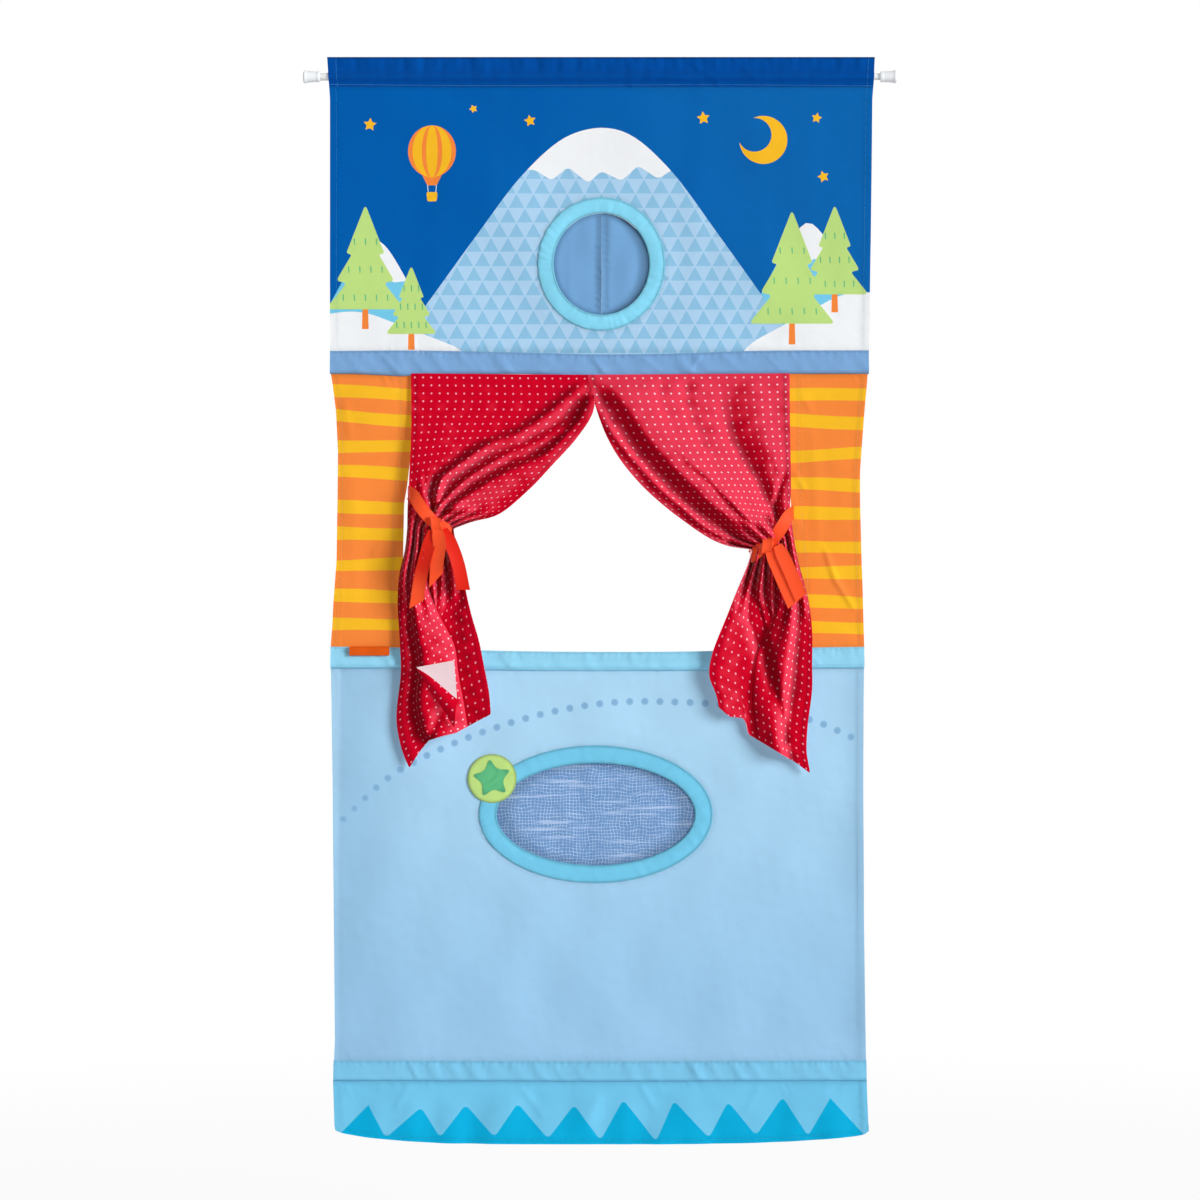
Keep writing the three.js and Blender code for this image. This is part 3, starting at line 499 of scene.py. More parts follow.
@made_once
def cloth_material(name, colour, place=object_place, seam_shade=0.14, mottle=0.07, contrast=0.1,
                   printed=None, pitch=None, polish=0.08):
    """Cotton of one colour, or printed by a function that gives its colour."""
    material, tree, shader = new_material(name)
    where = place(tree)
    ground = printed(tree, where) if printed else solid(colour)
    woven = placed(tree, woven_cloth, {
        "Vector": where,
        "Colour": ground,
        "Thread Pitch": pitch or cloth().weave_pitch,
        "Thread Contrast": contrast,
        "Mottle": mottle,
        "Seam": painted(tree, "seam"),
        "Seam Shade": seam_shade,
    })
    feed(tree, shader.inputs, {
        "Base Color": woven["Colour"],
        "Roughness": minus(tree, woven["Rough"], polish),
        "Specular IOR Level": polish,
        "Sheen Weight": 0.01,
        "Sheen Roughness": 0.5,
        "Normal": bump(tree, woven["Height"], 0.00018, 0.7),
    })
    return material


def reverse_of(name, colour, share_of_white=0.45):
    """The paler reverse of a printed cotton."""
    pale = [part + (0.8 - part) * share_of_white for part in colour]
    return cloth_material(name + "_reverse", pale)


@made_once
def satin_material(name, colour, turned_colour=None):
    """Matte satin ribbon with fine ribs across it, redder where it is turned."""
    material, tree, shader = new_material(name)
    where = pattern_place(tree)
    rib_pitch = 0.0006
    ribs = maths(tree, "SINE", times(tree, parts(tree, where)[1], 2 * math.pi / rib_pitch))
    ground = solid(colour)
    if turned_colour:
        ground = mixed(tree, painted(tree, "turned"), ground, solid(turned_colour))
    woven = placed(tree, woven_cloth, {
        "Vector": where,
        "Colour": ground,
        "Thread Pitch": rib_pitch / 2,
        "Thread Contrast": 0.04,
        "Mottle": 0.1,
        "Seam": painted(tree, "seam"),
        "Seam Shade": 0.3,
    })
    feed(tree, shader.inputs, {
        "Base Color": woven["Colour"],
        "Roughness": spread(tree, noise(tree, where, 60.0), 0.3, 0.7, 0.42, 0.56),
        "Sheen Weight": 0.01,
        "Specular IOR Level": 0.1,
        "Normal": bump(tree, ribs, 0.00003, 0.6),
    })
    return material


@made_once
def hard_material(name, colour, roughness, metallic=0.0, scuffs=0.06, coat=0.0):
    """Enamel, plastic, rubber or metal with its scuffs."""
    material, tree, shader = new_material(name)
    worn = placed(tree, scuffed_surface, {
        "Vector": object_place(tree),
        "Colour": solid(colour),
        "Roughness": roughness,
        "Scuffs": scuffs,
    })
    feed(tree, shader.inputs, {
        "Base Color": worn["Colour"],
        "Roughness": worn["Roughness"],
        "Metallic": metallic,
        "Coat Weight": coat,
        "Normal": bump(tree, worn["Height"], 0.00005, 0.4),
    })
    return material


def birch_material():
    """Birch with its grain along the dowel."""
    material, tree, shader = new_material("birch")
    grain = noise(tree, stretched(tree, object_place(tree), (2.5, 90.0, 90.0)), 6.0, 5.0, 0.6)
    tone = colours().birch
    feed(tree, shader.inputs, {
        "Base Color": mixed(tree, spread(tree, grain, 0.35, 0.68), solid(tone), solid(tone, 0.68)),
        "Roughness": spread(tree, grain, 0.3, 0.7, 0.5, 0.68),
        "Normal": bump(tree, grain, 0.00012, 0.5),
    })
    return material


@made_once
def thread_material(name, colour):
    """Twisted sewing thread."""
    material, tree, shader = new_material(name)
    twist = noise(tree, object_place(tree), 1800.0, 1.0)
    feed(tree, shader.inputs, {
        "Base Color": mixed(tree, twist, solid(colour, 0.8), solid(colour)),
        "Roughness": spread(tree, twist, 0.3, 0.7, 0.55, 0.7),
    })
    return material


# Curves and relief
def smooth_path(points, count):
    """Evenly spaced points on a smooth curve through the given ones."""
    knots = np.asarray(points, float)
    if len(knots) > 2:
        ends = np.vstack((2 * knots[0] - knots[1], knots, 2 * knots[-1] - knots[-2]))
        fine = []
        for a, b, c, d in zip(ends, ends[1:], ends[2:], ends[3:]):
            for t in np.linspace(0, 1, 16, endpoint=False):
                fine.append(0.5 * (2 * b + (c - a) * t + (2 * a - 5 * b + 4 * c - d) * t * t
                                   + (3 * b - a - 3 * c + d) * t ** 3))
        fine.append(knots[-1])
        knots = np.array(fine)
    run = way_along(knots)
    return points_at(np.linspace(0, run[-1], count), run, knots)


def way_along(points):
    """The distance from a path's start to each of its points."""
    return np.concatenate(([0], np.cumsum(np.linalg.norm(np.diff(points, axis=0), axis=1))))


def points_at(places, run, points):
    """Points at distances along a path."""
    return np.column_stack([np.interp(places, run, axis) for axis in points.T])


def looped(outline):
    """An outline with its first point again at its end."""
    return np.vstack((outline, outline[:1]))


def side_rows(heights, left_inwards=0.0, right_inwards=None):
    """A row of points down each side edge of the banner, brought inwards."""
    right_inwards = left_inwards if right_inwards is None else right_inwards
    return [
        np.column_stack((edge_at(LEFT_EDGE, heights) + left_inwards, heights)),
        np.column_stack((edge_at(RIGHT_EDGE, heights) - right_inwards, heights)),
    ]


def dense(outline, step):
    """A closed outline, anticlockwise, with points no further apart than a step."""
    x, z = np.asarray(outline, float).T
    turned = np.dot(x, np.roll(z, -1)) - np.dot(z, np.roll(x, -1)) < 0
    points = [tuple(point) for point in (outline[::-1] if turned else outline)]
    filled = []
    for start, end in zip(points, points[1:] + points[:1]):
        pieces = max(1, math.ceil(math.dist(start, end) / step))
        for piece in range(pieces):
            along = piece / pieces
            filled.append(tuple(a + (b - a) * along for a, b in zip(start, end)))
    return filled


def oval(x, z, radius_x, radius_z, count=72, start=0.0, end=2 * math.pi):
    """Points round an oval, or along a part of it."""
    closed = abs(end - start) >= 2 * math.pi - 1e-6
    turns = np.linspace(start, end, count, endpoint=not closed)
    return np.column_stack((x + radius_x * np.cos(turns), z + radius_z * np.sin(turns)))


def smoothstep(low, high, value):
    along = np.clip((value - low) / (high - low), 0, 1)
    return along * along * (3 - 2 * along)


def hump(away, width):
    """A smooth hump of height 1 about a place, given the distance from it."""
    return np.exp(-((away / width) ** 2))


def soft_noise(x, z, size, seed, waves=9):
    """A smooth value of about -1 to 1 over X and Z, with features of one size."""
    chance = random.Random(seed)
    total = np.zeros_like(x, dtype=float)
    for _ in range(waves):
        turn = chance.uniform(0, 2 * math.pi)
        rate = 2 * math.pi * chance.uniform(0.55, 1.6) / size
        total += np.sin(rate * (x * math.cos(turn) + z * math.sin(turn)) + chance.uniform(0, 2 * math.pi))
    return total / math.sqrt(waves)


def creased(x, z, creases):
    """Height of single creases, each from a start to an end pixel with its depth and width."""
    total = np.zeros_like(x, dtype=float)
    for start, end, depth, width in creases:
        (x0, z0), (x1, z1) = photo_points((start, end))
        reach = math.hypot(x1 - x0, z1 - z0)
        ux, uz = (x1 - x0) / reach, (z1 - z0) / reach
        along = ((x - x0) * ux + (z - z0) * uz) / reach
        off = (x - x0) * -uz + (z - z0) * ux
        fade = smoothstep(-0.15, 0.2, along) * smoothstep(1.15, 0.8, along)
        total += depth * fade * hump(off, width)
    return total


def sewn_relief(seed, seams=(), ovals=(), hems=True, creases=(), base=0.0, waves=1.0, calm=0.03):
    """A sheet's relief: how far each point stands towards the back, and how near it lies to a seam.

    The waves die down within the calm reach of the sheet's horizontal seams, where puckers take over."""
    sizes = cloth()

    def relief(x, z):
        x = np.asarray(x, float)
        z = np.asarray(z, float)
        free = np.ones_like(x)
        seam = np.zeros_like(x)
        pucker = np.zeros_like(x)
        wander = 1.6 * soft_noise(x, z, 0.09, seed + 1)
        strength = 0.55 + 0.45 * soft_noise(x, z, 0.06, seed + 2)
        lines = [(np.abs(z - height), 2 * math.pi * x / sizes.pucker_pitch, 0.1, 0.0045) for height in seams]
        for middle_x, middle_z, radius_x, radius_z in ovals:
            over, up = (x - middle_x) / radius_x, (z - middle_z) / radius_z
            mean = (radius_x + radius_z) / 2
            count = round(2 * math.pi * mean / sizes.pucker_pitch)
            lines.append((np.abs(np.hypot(over, up) - 1) * mean, count * np.arctan2(up, over), 0.3, 0.004))
        for away, phase, loose, width in lines:
            free *= smoothstep(0, calm, away) * (1 - loose) + loose
            # Painted shade, together with the seam's doubled cloth: the materials darken the colour where
            # this mask is high, along the seams, round the rings' edges and beside the hems below.
            seam = np.maximum(seam, hump(away, width))
            pucker += strength * np.exp(-away / sizes.pucker_reach) * np.sin(phase + 3 * wander)
        y = base + waves * sizes.wave_depth * free * soft_noise(x, z, sizes.wave_length, seed + 3)
        y += sizes.crinkle_depth * soft_noise(x, z, sizes.crinkle_length, seed + 4)
        y += sizes.pucker_depth * pucker
        if hems:
            away = np.minimum(x - edge_at(LEFT_EDGE, z), edge_at(RIGHT_EDGE, z) - x)
            inside = smoothstep(sizes.hem_width + 0.0012, sizes.hem_width - 0.0012, away)
            y -= sizes.hem_rise * inside
            near = hump(away - sizes.hem_width, 0.0035)
            seam = np.maximum(seam, 0.7 * near)
            y += 0.6 * sizes.pucker_depth * near * np.sin(2 * math.pi * z / sizes.pucker_pitch + 3 * wander)
        y -= creased(x, z, creases)
        return y, seam

    return relief


# Meshes
def paint(mesh, name, values):
    """Give a mesh a value at each of its points, which its materials read."""
    made = mesh.attributes.new(name, "FLOAT", "POINT")
    made.data.foreach_set("value", np.asarray(values, np.float32))


def new_piece(name, corners, faces, materials, face_materials=None, seam=None, uvs=None):
    """A piece from corners and faces, shaded smooth but for its sharp edges."""
    mesh = bpy.data.meshes.new(name)
    mesh.from_pydata([tuple(corner) for corner in corners], [], [tuple(face) for face in faces])
    for material in materials:
        mesh.materials.append(material)
    if face_materials is not None:
        mesh.polygons.foreach_set("material_index", np.asarray(face_materials, np.int32))
    if seam is not None:
        paint(mesh, "seam", seam)
    if uvs is not None:
        layer = mesh.uv_layers.new(name="pattern")
        corner_ids = np.zeros(len(mesh.loops), np.int32)
        mesh.loops.foreach_get("vertex_index", corner_ids)
        layer.data.foreach_set("uv", np.asarray(uvs, np.float32)[corner_ids].ravel())
    mesh.validate()
    mesh.polygons.foreach_set("use_smooth", np.ones(len(mesh.polygons), bool))
    mesh.update()
    piece = bpy.data.objects.new(name, mesh)
    bpy.context.scene.collection.objects.link(piece)
    return piece


def keep_result(piece, sharp=50):
    """Apply a piece's modifiers, and mark its sharp edges."""
    depsgraph = bpy.context.evaluated_depsgraph_get()
    depsgraph.update()
    mesh = bpy.data.meshes.new_from_object(piece.evaluated_get(depsgraph), depsgraph=depsgraph)
    piece.modifiers.clear()
    old = piece.data
    piece.data = mesh
    mesh.name = piece.name
    bpy.data.meshes.remove(old)
    mesh.set_sharp_from_angle(angle=math.radians(sharp))
    return piece


def thicken(piece, thickness, reverse=True, offset=0.0):
    """Give a sheet its thickness. Its back and rim take its last material where it has a reverse."""
    solidify = piece.modifiers.new("thickness", "SOLIDIFY")
    solidify.thickness = thickness
    solidify.offset = offset
    solidify.use_even_offset = False
    if reverse:
        solidify.material_offset = len(piece.data.materials)
        solidify.material_offset_rim = len(piece.data.materials)
    return keep_result(piece)


def soften(piece, levels=1):
    subdivision = piece.modifiers.new("soften", "SUBSURF")
    subdivision.levels = levels
    subdivision.render_levels = levels
    return keep_result(piece)


def finish_piece(piece, body, slot, *nodes):
    """Attach a piece to the body it rides on and hide the CAD nodes it stands for. The finish given as slot
    is not used.
    """
    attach(piece, body)
    if nodes:
        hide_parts(*nodes)
    return piece


def cut_sheet(name, outline, relief, materials, prints=(), holes=(), step=None, thickness=None):
    """A sheet cut to an outline, with each print as faces of its own and its reverse last.

    A print is (material number, outline) or (material number, outline, outline it stays inside)."""
    step = step or cloth().grid_step
    masks = []
    for entry in prints:
        if len(entry) > 2 and not any(entry[2] is mask for mask in masks):
            masks.append(entry[2])
    loops = [outline, *holes, *masks, *(entry[1] for entry in prints)]
    first_mask = 1 + len(holes)
    first_print = first_mask + len(masks)
    points, faces = [], []
    for loop in loops:
        filled = dense(loop, step)
        faces.append(list(range(len(points), len(points) + len(filled))))
        points += filled
    low = np.min(outline, axis=0)
    high = np.max(outline, axis=0)
    across = np.arange(low[0] + step / 2, high[0], step)
    up = np.arange(low[1] + step / 2, high[1], step)
    points += [(x, z) for z in up for x in across]
    result = delaunay_2d_cdt([Vector(point) for point in points], [], faces, 1, 1e-7, True)
    flat, triangles, owners = result[0], result[2], result[5]
    kept, kinds = [], []
    hole_ids = set(range(1, 1 + len(holes)))
    for triangle, owner in zip(triangles, owners):
        held = set(owner)
        if 0 not in held or held & hole_ids:
            continue
        kind = 0
        for number, entry in enumerate(prints):
            if first_print + number not in held:
                continue
            if len(entry) > 2:
                mask = next(place for place, mask in enumerate(masks) if mask is entry[2])
                if first_mask + mask not in held:
                    continue
            kind = entry[0]
        kept.append(triangle)
        kinds.append(kind)
    used = sorted({corner for triangle in kept for corner in triangle})
    order = {corner: place for place, corner in enumerate(used)}
    x, z = np.array([flat[corner][:] for corner in used]).T
    y, seam = relief(x, z)
    corners = np.column_stack((x, y, z))
    faces = [[order[corner] for corner in triangle] for triangle in kept]
    piece = new_piece(name, corners, faces, materials, kinds, seam)
    return thicken(piece, thickness or cloth().thickness)


def loft(name, rings, materials, seam=None, closed=False, uvs=None, turned=False):
    """A surface through rings of points. Closed rings join their last point to their first."""
    rows = np.asarray(rings, float)
    count, sides = rows.shape[:2]
    faces = []
    for row in range(count - 1):
        for side in range(sides if closed else sides - 1):
            after = (side + 1) % sides
            face = [line * sides + place for line, place in (
                (row, side), (row + 1, side), (row + 1, after), (row, after))]
            faces.append(face[::-1] if turned else face)
    return new_piece(name, rows.reshape(-1, 3), faces, materials, seam=seam, uvs=uvs)


def close_up(piece, fill=False, sharp=None):
    """Join a piece's doubled points, or fill its open ends, and turn its faces outwards."""
    work = bmesh.new()
    work.from_mesh(piece.data)
    if fill:
        bmesh.ops.holes_fill(work, edges=work.edges)
    else:
        bmesh.ops.remove_doubles(work, verts=work.verts, dist=1e-6)
    bmesh.ops.recalc_face_normals(work, faces=work.faces)
    work.to_mesh(piece.data)
    work.free()
    if sharp:
        piece.data.set_sharp_from_angle(angle=math.radians(sharp))
    return piece


def turned_on_rod(name, profile, materials, segments=72):
    """A closed piece turned about the rod from its profile of (place along X, radius)."""
    rings = []
    for x, radius in profile:
        turns = np.linspace(0, 2 * math.pi, segments, endpoint=False)
        ring = np.column_stack((np.full(segments, x), radius * np.cos(turns), radius * np.sin(turns)))
        rings.append(ring)
    return close_up(loft(name, rings, materials, closed=True), sharp=40)


def add_stitches(name, paths, place_on, colour, slot, body="banner"):
    """Runs of stitches along paths in X and Z. place_on gives the cloth's front face there."""
    sizes = cloth()
    pitch = sizes.stitch_length + sizes.stitch_gap
    corners, faces = [], []
    for path in paths:
        points = np.asarray(path, float)
        run = way_along(points)
        count = max(1, int(run[-1] / pitch))
        starts = np.arange(count) * run[-1] / count
        first = points_at(starts, run, points)
        last = points_at(starts + sizes.stitch_length, run, points)
        tangent = last - first
        tangent /= np.linalg.norm(tangent, axis=1)[:, None] + 1e-12
        half = sizes.thread_width / 2
        side = np.column_stack((-tangent[:, 1], tangent[:, 0])) * half
        middle = (first + last) / 2
        rows = []
        for place, height in (
            (first, 0), (middle + side, -0.2), (middle, -1.3), (middle - side, -0.2), (middle, 1), (last, 0),
        ):
            spot = place if place is first or place is last else middle
            y = place_on(spot[:, 0], spot[:, 1]) + height * half
            rows.append(np.column_stack((place[:, 0], y, place[:, 1])))
        for stitch in np.stack(rows, axis=1):
            base = len(corners)
            corners += list(stitch)
            for one, two in ((1, 2), (2, 3), (3, 4), (4, 1)):
                faces += [(base, base + two, base + one), (base + 5, base + one, base + two)]
    piece = new_piece(name, corners, faces, [thread_material(name + "_thread", colour)])
    return finish_piece(piece, body, slot)


def front_of(relief, thickness=None):
    """The front face of a thickened sheet, for what lies on it."""
    half = (thickness or cloth().thickness) / 2
    return lambda x, z: relief(x, z)[0] - half


def node_box(name):
    low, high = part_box(name)
    return np.array(low), np.array(high)


def middle_of(name):
    low, high = node_box(name)
    return (low + high) / 2


def half_of(name):
    low, high = node_box(name)
    return (high - low) / 2


# Rod
def rod_profile(name, bore=0.0, round_over=0.0008):
    """A tube's or rod's profile from its CAD box, with eased edges."""
    low, high = node_box(name)
    radius = half_of(name)[2]
    ease = min(round_over, (radius - bore) / 2.5)
    outside = [
        (low[0], radius - ease), (low[0] + ease * 0.3, radius - ease * 0.3), (low[0] + ease, radius),
        (high[0] - ease, radius), (high[0] - ease * 0.3, radius - ease * 0.3), (high[0], radius - ease),
    ]
    if bore:
        return [(low[0], bore), *outside, (high[0], bore), (low[0], bore)]
    return [(low[0], 0.0), *outside, (high[0], 0.0)]


def long_steps(profile, step=0.05):
    """The same profile with its long runs cut into steps."""
    result = [profile[0]]
    for start, end in zip(profile, profile[1:]):
        pieces = max(1, math.ceil(abs(end[0] - start[0]) / step))
        result += [tuple(a + (b - a) * n / pieces for a, b in zip(start, end)) for n in range(1, pieces + 1)]
    return result


class THEATRE_OT_rod(bpy.types.Operator):
    """Build the tension rod: tubes, caps and pads, and finish the parts inside it"""

    bl_idname = "theatre.rod"
    bl_label = "Tension rod"

    def execute(self, context):
        tones = colours()
        enamel = hard_material("white_enamel", tones.enamel, 0.32, scuffs=0.05, coat=0.3)
        plastic = hard_material("white_plastic", tones.plastic, 0.38, scuffs=0.04)
        rubber = hard_material("pad_rubber", tones.rubber, 0.75, scuffs=0.12)
        grey = hard_material("grey_plastic", tones.grey, 0.5)
        steel = hard_material("spring_steel", tones.steel, 0.32, metallic=1.0)
        wall = 0.0006
        for name, body in (("rod_outer_tube", "outer_tube"), ("rod_inner_tube", "inner_tube")):
            profile = long_steps(rod_profile(name, half_of(name)[2] - wall, 0.0003))
            finish_piece(turned_on_rod(name + "_turned", profile, [enamel]), body, "white_enamel", name)
        for word, side, body in (("left", -1, "left_end"), ("right", 1, "inner_tube")):
            self.cap(word, side, body, plastic)
            self.pad(word + "_rubber_pad", side, body, rubber)
        for name in ("spring_plunger", "spring_seat_plug", "cam_lock_plug", "inner_tube_bush"):
            mesh = frame["nodes"][name].data
            mesh.materials.clear()
            mesh.materials.append(grey)
        self.spring(steel)
        return {"FINISHED"}

    def spring(self, steel):
        """The wound spring, at rest. The real one closes up as the left cap is pressed in."""
        low, high = node_box("tension_spring")
        wire = 0.00055
        radius = half_of("tension_spring")[2] - wire
        coils = 18
        turns = np.linspace(0, 2 * math.pi * coils, coils * 28 + 1)
        start, end = low[0] + wire, high[0] - wire
        pitch = (end - start) / turns[-1]
        along = np.array((pitch, radius)) / math.hypot(pitch, radius)
        rings = []
        for turn in turns:
            outwards = np.array((0, math.cos(turn), math.sin(turn)))
            around = np.array((0, -math.sin(turn), math.cos(turn)))
            upright = np.array((along[1], 0, 0)) - around * along[0]
            middle = outwards * radius + (start + pitch * turn, 0, 0)
            angles = np.linspace(0, 2 * math.pi, 10, endpoint=False)[:, None]
            rings.append(middle + wire * (outwards * np.cos(angles) + upright * np.sin(angles)))
        piece = close_up(loft("tension_spring_wound", rings, [steel], closed=True), fill=True)
        finish_piece(piece, "outer_tube", "spring_steel", "tension_spring")
        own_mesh(piece)

    def cap(self, word, side, body, plastic):
        """A bell-shaped cap with a rolled rim, a waist and a collar where the tube goes in."""
        low, high = node_box(word + "_end_cap")
        rim = half_of(word + "_end_cap")[2]
        tube = "rod_outer_tube" if side < 0 else "rod_inner_tube"
        bore = half_of(tube)[2] + 0.00025
        start, reach = (low[0], high[0] - low[0]) if side < 0 else (high[0], low[0] - high[0])
        pocket = 0.8 * rim
        pocket_floor = start + reach * 0.085
        seat = node_box("spring_plunger")[0][0] - 0.0001 if side < 0 else node_box(tube)[1][0] + 0.0001
        outside = (
            (0, 0.93), (0.012, 0.975), (0.04, 1.0), (0.10, 1.0), (0.135, 0.985), (0.15, 0.955), (0.17, 0.94),
            (0.30, 0.905), (0.5, 0.86), (0.72, 0.825), (0.80, 0.815), (0.82, 0.835), (0.86, 0.845),
            (0.95, 0.84), (0.985, 0.82), (1.0, 0.78),
        )
        profile = [(start + reach * along, rim * radius) for along, radius in outside]
        profile += [(start + reach, bore), (seat, bore), (seat, 0.0), (pocket_floor, 0.0)]
        profile += [(pocket_floor, pocket), (start, pocket), profile[0]]
        piece = turned_on_rod(word + "_cap_turned", profile, [plastic], 96)
        return finish_piece(piece, body, "white_plastic", word + "_end_cap")

    def pad(self, name, side, body, rubber):
        """A pad with shallow rings moulded in its face."""
        low, high = node_box(name)
        radius = half_of(name)[2]
        face, back = (low[0], high[0]) if side < 0 else (high[0], low[0])
        sunk = face - side * 0.0003
        groove = radius / 20
        profile = [(face, 0.0)]
        for ring in range(1, 4):
            place = radius * ring / 4
            profile += [(face, place - groove), (sunk, place), (face, place + groove)]
        profile += [(face, radius * 0.94), (sunk, radius), (back, radius), (back, 0.0)]
        return finish_piece(turned_on_rod(name + "_moulded", profile, [rubber]), body, "pad_rubber", name)


class THEATRE_OT_dowels(bpy.types.Operator):
    """Build the three birch dowels that keep the bands straight"""

    bl_idname = "theatre.dowels"
    bl_label = "Dowels"

    def execute(self, context):
        birch = birch_material()
        for word in ("header", "sill", "base"):
            name = word + "_dowel"
            middle = middle_of(name)
            piece = turned_on_rod(name + "_turned", long_steps(rod_profile(name, 0.0, 0.0012)), [birch], 48)
            piece.data.transform(Matrix.Translation((0, middle[1], middle[2])))
            finish_piece(piece, name, "birch", name)
        return {"FINISHED"}


# Sewn tubes: the sleeve and the bands
def sleeve_bulge(z):
    """How far the sleeve stands from the rod's axis: a bulge round the rod, flat over it."""
    return 0.0012 + 0.0060 * np.exp(-((np.abs(z) / 0.0066) ** 2.6))


def sleeve_front(x, z):
    """Place of the sleeve's front along Y."""
    drape = 0.0005 * soft_noise(x, z, 0.05, 31) + 0.0007 * soft_noise(x, z * 0.3, 0.022, 32)
    slack = smoothstep(-0.004, 0.02, z)
    creases = creased(x, z, (
        ((690, 62), (720, 84), 0.0012, 0.004),
        ((640, 74), (700, 82), 0.0009, 0.003),
        ((735, 60), (758, 82), 0.0010, 0.004),
    ))
    return drape * (0.4 + slack) - sleeve_bulge(z) - creases


class THEATRE_OT_sleeve(bpy.types.Operator):
    """Build the rod sleeve: one folded sheet with its header over the rod"""

    bl_idname = "theatre.sleeve"
    bl_label = "Rod sleeve"

    def execute(self, context):
        tones = colours()
        low, high = node_box("top_sleeve")
        top = high[2] - cloth().thickness / 2
        foot = low[2] - 0.002
        fold = 0.001
        heights = np.linspace(foot, top - fold, 22)
        left, right = edge_at(LEFT_EDGE, heights), edge_at(RIGHT_EDGE, heights)
        turns = np.linspace(math.pi * 0.85, math.pi * 0.15, 5)
        line_z = np.concatenate((heights, top - fold + fold * np.sin(turns), heights[::-1]))
        rings, seam = [], []
        for place in np.linspace(0, 1, 260):
            x = left + (right - left) * place
            back = sleeve_bulge(heights) + 0.0003 * soft_noise(x, heights, 0.05, 33)
            line_x = np.concatenate((x, np.full(5, x[-1]), x[::-1]))
            line_y = np.concatenate((sleeve_front(x, heights), 0.0011 * np.cos(turns), back[::-1]))
            rings.append(np.column_stack((line_x, line_y, line_z)))
            near = hump(min(place, 1 - place) * 0.82 - cloth().hem_width, 0.003)
            low_seam = np.maximum(hump(line_z - foot, 0.004), 0.6 * near)
            # Painted shade: a dark line along the folded top edge, with a lighter darkening at the foot seam
            # and side hems.
            seam.append(np.maximum(0.23 * low_seam, hump(line_z - top, 0.0016)))
        materials = [
            cloth_material("night_blue_cloth", tones.sleeve, seam_shade=0.6, polish=0.02),
            reverse_of("night_blue_cloth", tones.sleeve, 0.25),
        ]
        piece = loft("rod_sleeve_cloth", rings, materials, np.concatenate(seam))
        thicken(piece, cloth().thickness)
        finish_piece(piece, "banner", "night_blue_cloth", "top_sleeve")
        width = high[0] - low[0]
        seam_z = photo_z(85.3)
        x = np.linspace(low[0], high[0], 160)
        across = np.column_stack((x, seam_z + 0.0008 * np.sin(x * 9) - 0.0012 * x / width))
        sides = side_rows(heights, 0.0125, cloth().hem_width)
        stitches = add_stitches("rod_sleeve_stitches", [across, *sides],
                                front_of(lambda x, z: (sleeve_front(x, z),)), (0.20, 0.74, 1.0),
                                "night_blue_cloth")
        return {"FINISHED"}


# Each band's edges: how its top and its foot sag between its ends, in photograph pixels
BAND_SHAPES = {
    "header": {
        "node": "stage_header_band", "slot": "header_blue_cloth", "seed": 41,
        "top": ((330, 351), (420, 350.6), (520, 352.6), (600, 354.4), (680, 353.4), (760, 350.8),
                (869, 350.4)),
        "foot": ((330, 373), (385, 375.5), (403, 376.5), (430, 374.4), (520, 374), (600, 376.4), (700, 374.6),
                 (785, 372.6), (869, 373)),
        "creases": (
            ((592, 356), (604, 374), 0.0012, 0.004), ((765, 354), (782, 372), 0.0012, 0.004),
            ((382, 355), (400, 374), 0.0011, 0.004), ((640, 357), (662, 372), 0.0008, 0.003),
            ((700, 354), (690, 372), 0.0008, 0.004), ((470, 353), (484, 372), 0.0007, 0.004),
        ),
    },
    "sill": {
        "node": "sill_band", "slot": "sill_blue_cloth", "seed": 51,
        "top": ((330, 646.6), (400, 647.6), (500, 650.8), (600, 651.8), (700, 651.2), (800, 647.8),
                (865, 646.8)),
        "foot": ((330, 667.8), (400, 668.4), (500, 670.4), (600, 671.2), (700, 670.6), (800, 668.4),
                 (865, 667.8)),
        "creases": (
            ((806, 650), (820, 664), 0.0012, 0.003), ((500, 655), (512, 668), 0.0008, 0.004),
            ((389, 648), (393, 656), -0.0014, 0.0025), ((396, 648), (400, 660), 0.0012, 0.003),
        ),
    },
    "base": {
        "node": "base_band", "slot": "base_blue_cloth", "seed": 61,
        "top": ((332, 1060.4), (450, 1060.8), (600, 1061.2), (750, 1060.8), (868, 1060.2)),
        "foot": ((332, 1080.6), (450, 1081), (600, 1081.4), (750, 1081), (868, 1080.4)),
        "creases": (((410, 1063), (418, 1079), 0.0009, 0.003), ((690, 1063), (700, 1078), 0.0008, 0.004)),
    },
}


def band_line(word, edge, x):
    """Height of a band's top or foot at a place along X."""
    columns, rows = np.asarray(BAND_SHAPES[word][edge], float).T
    smooth = smooth_path(np.column_stack((photo_x(columns), photo_z(rows))), 60)
    return np.interp(x, smooth[:, 0], smooth[:, 1])


def band_depth(down, middle):
    """A band's half depth as a share, from its seam (0) to its foot (1), round its dowel."""
    above = 0.17 + 0.83 * smoothstep(0, middle, down)
    below = np.sqrt(np.clip(1 - ((down - middle) / (1 - middle)) ** 2, 0, 1))
    return np.where(down < middle, above, below)


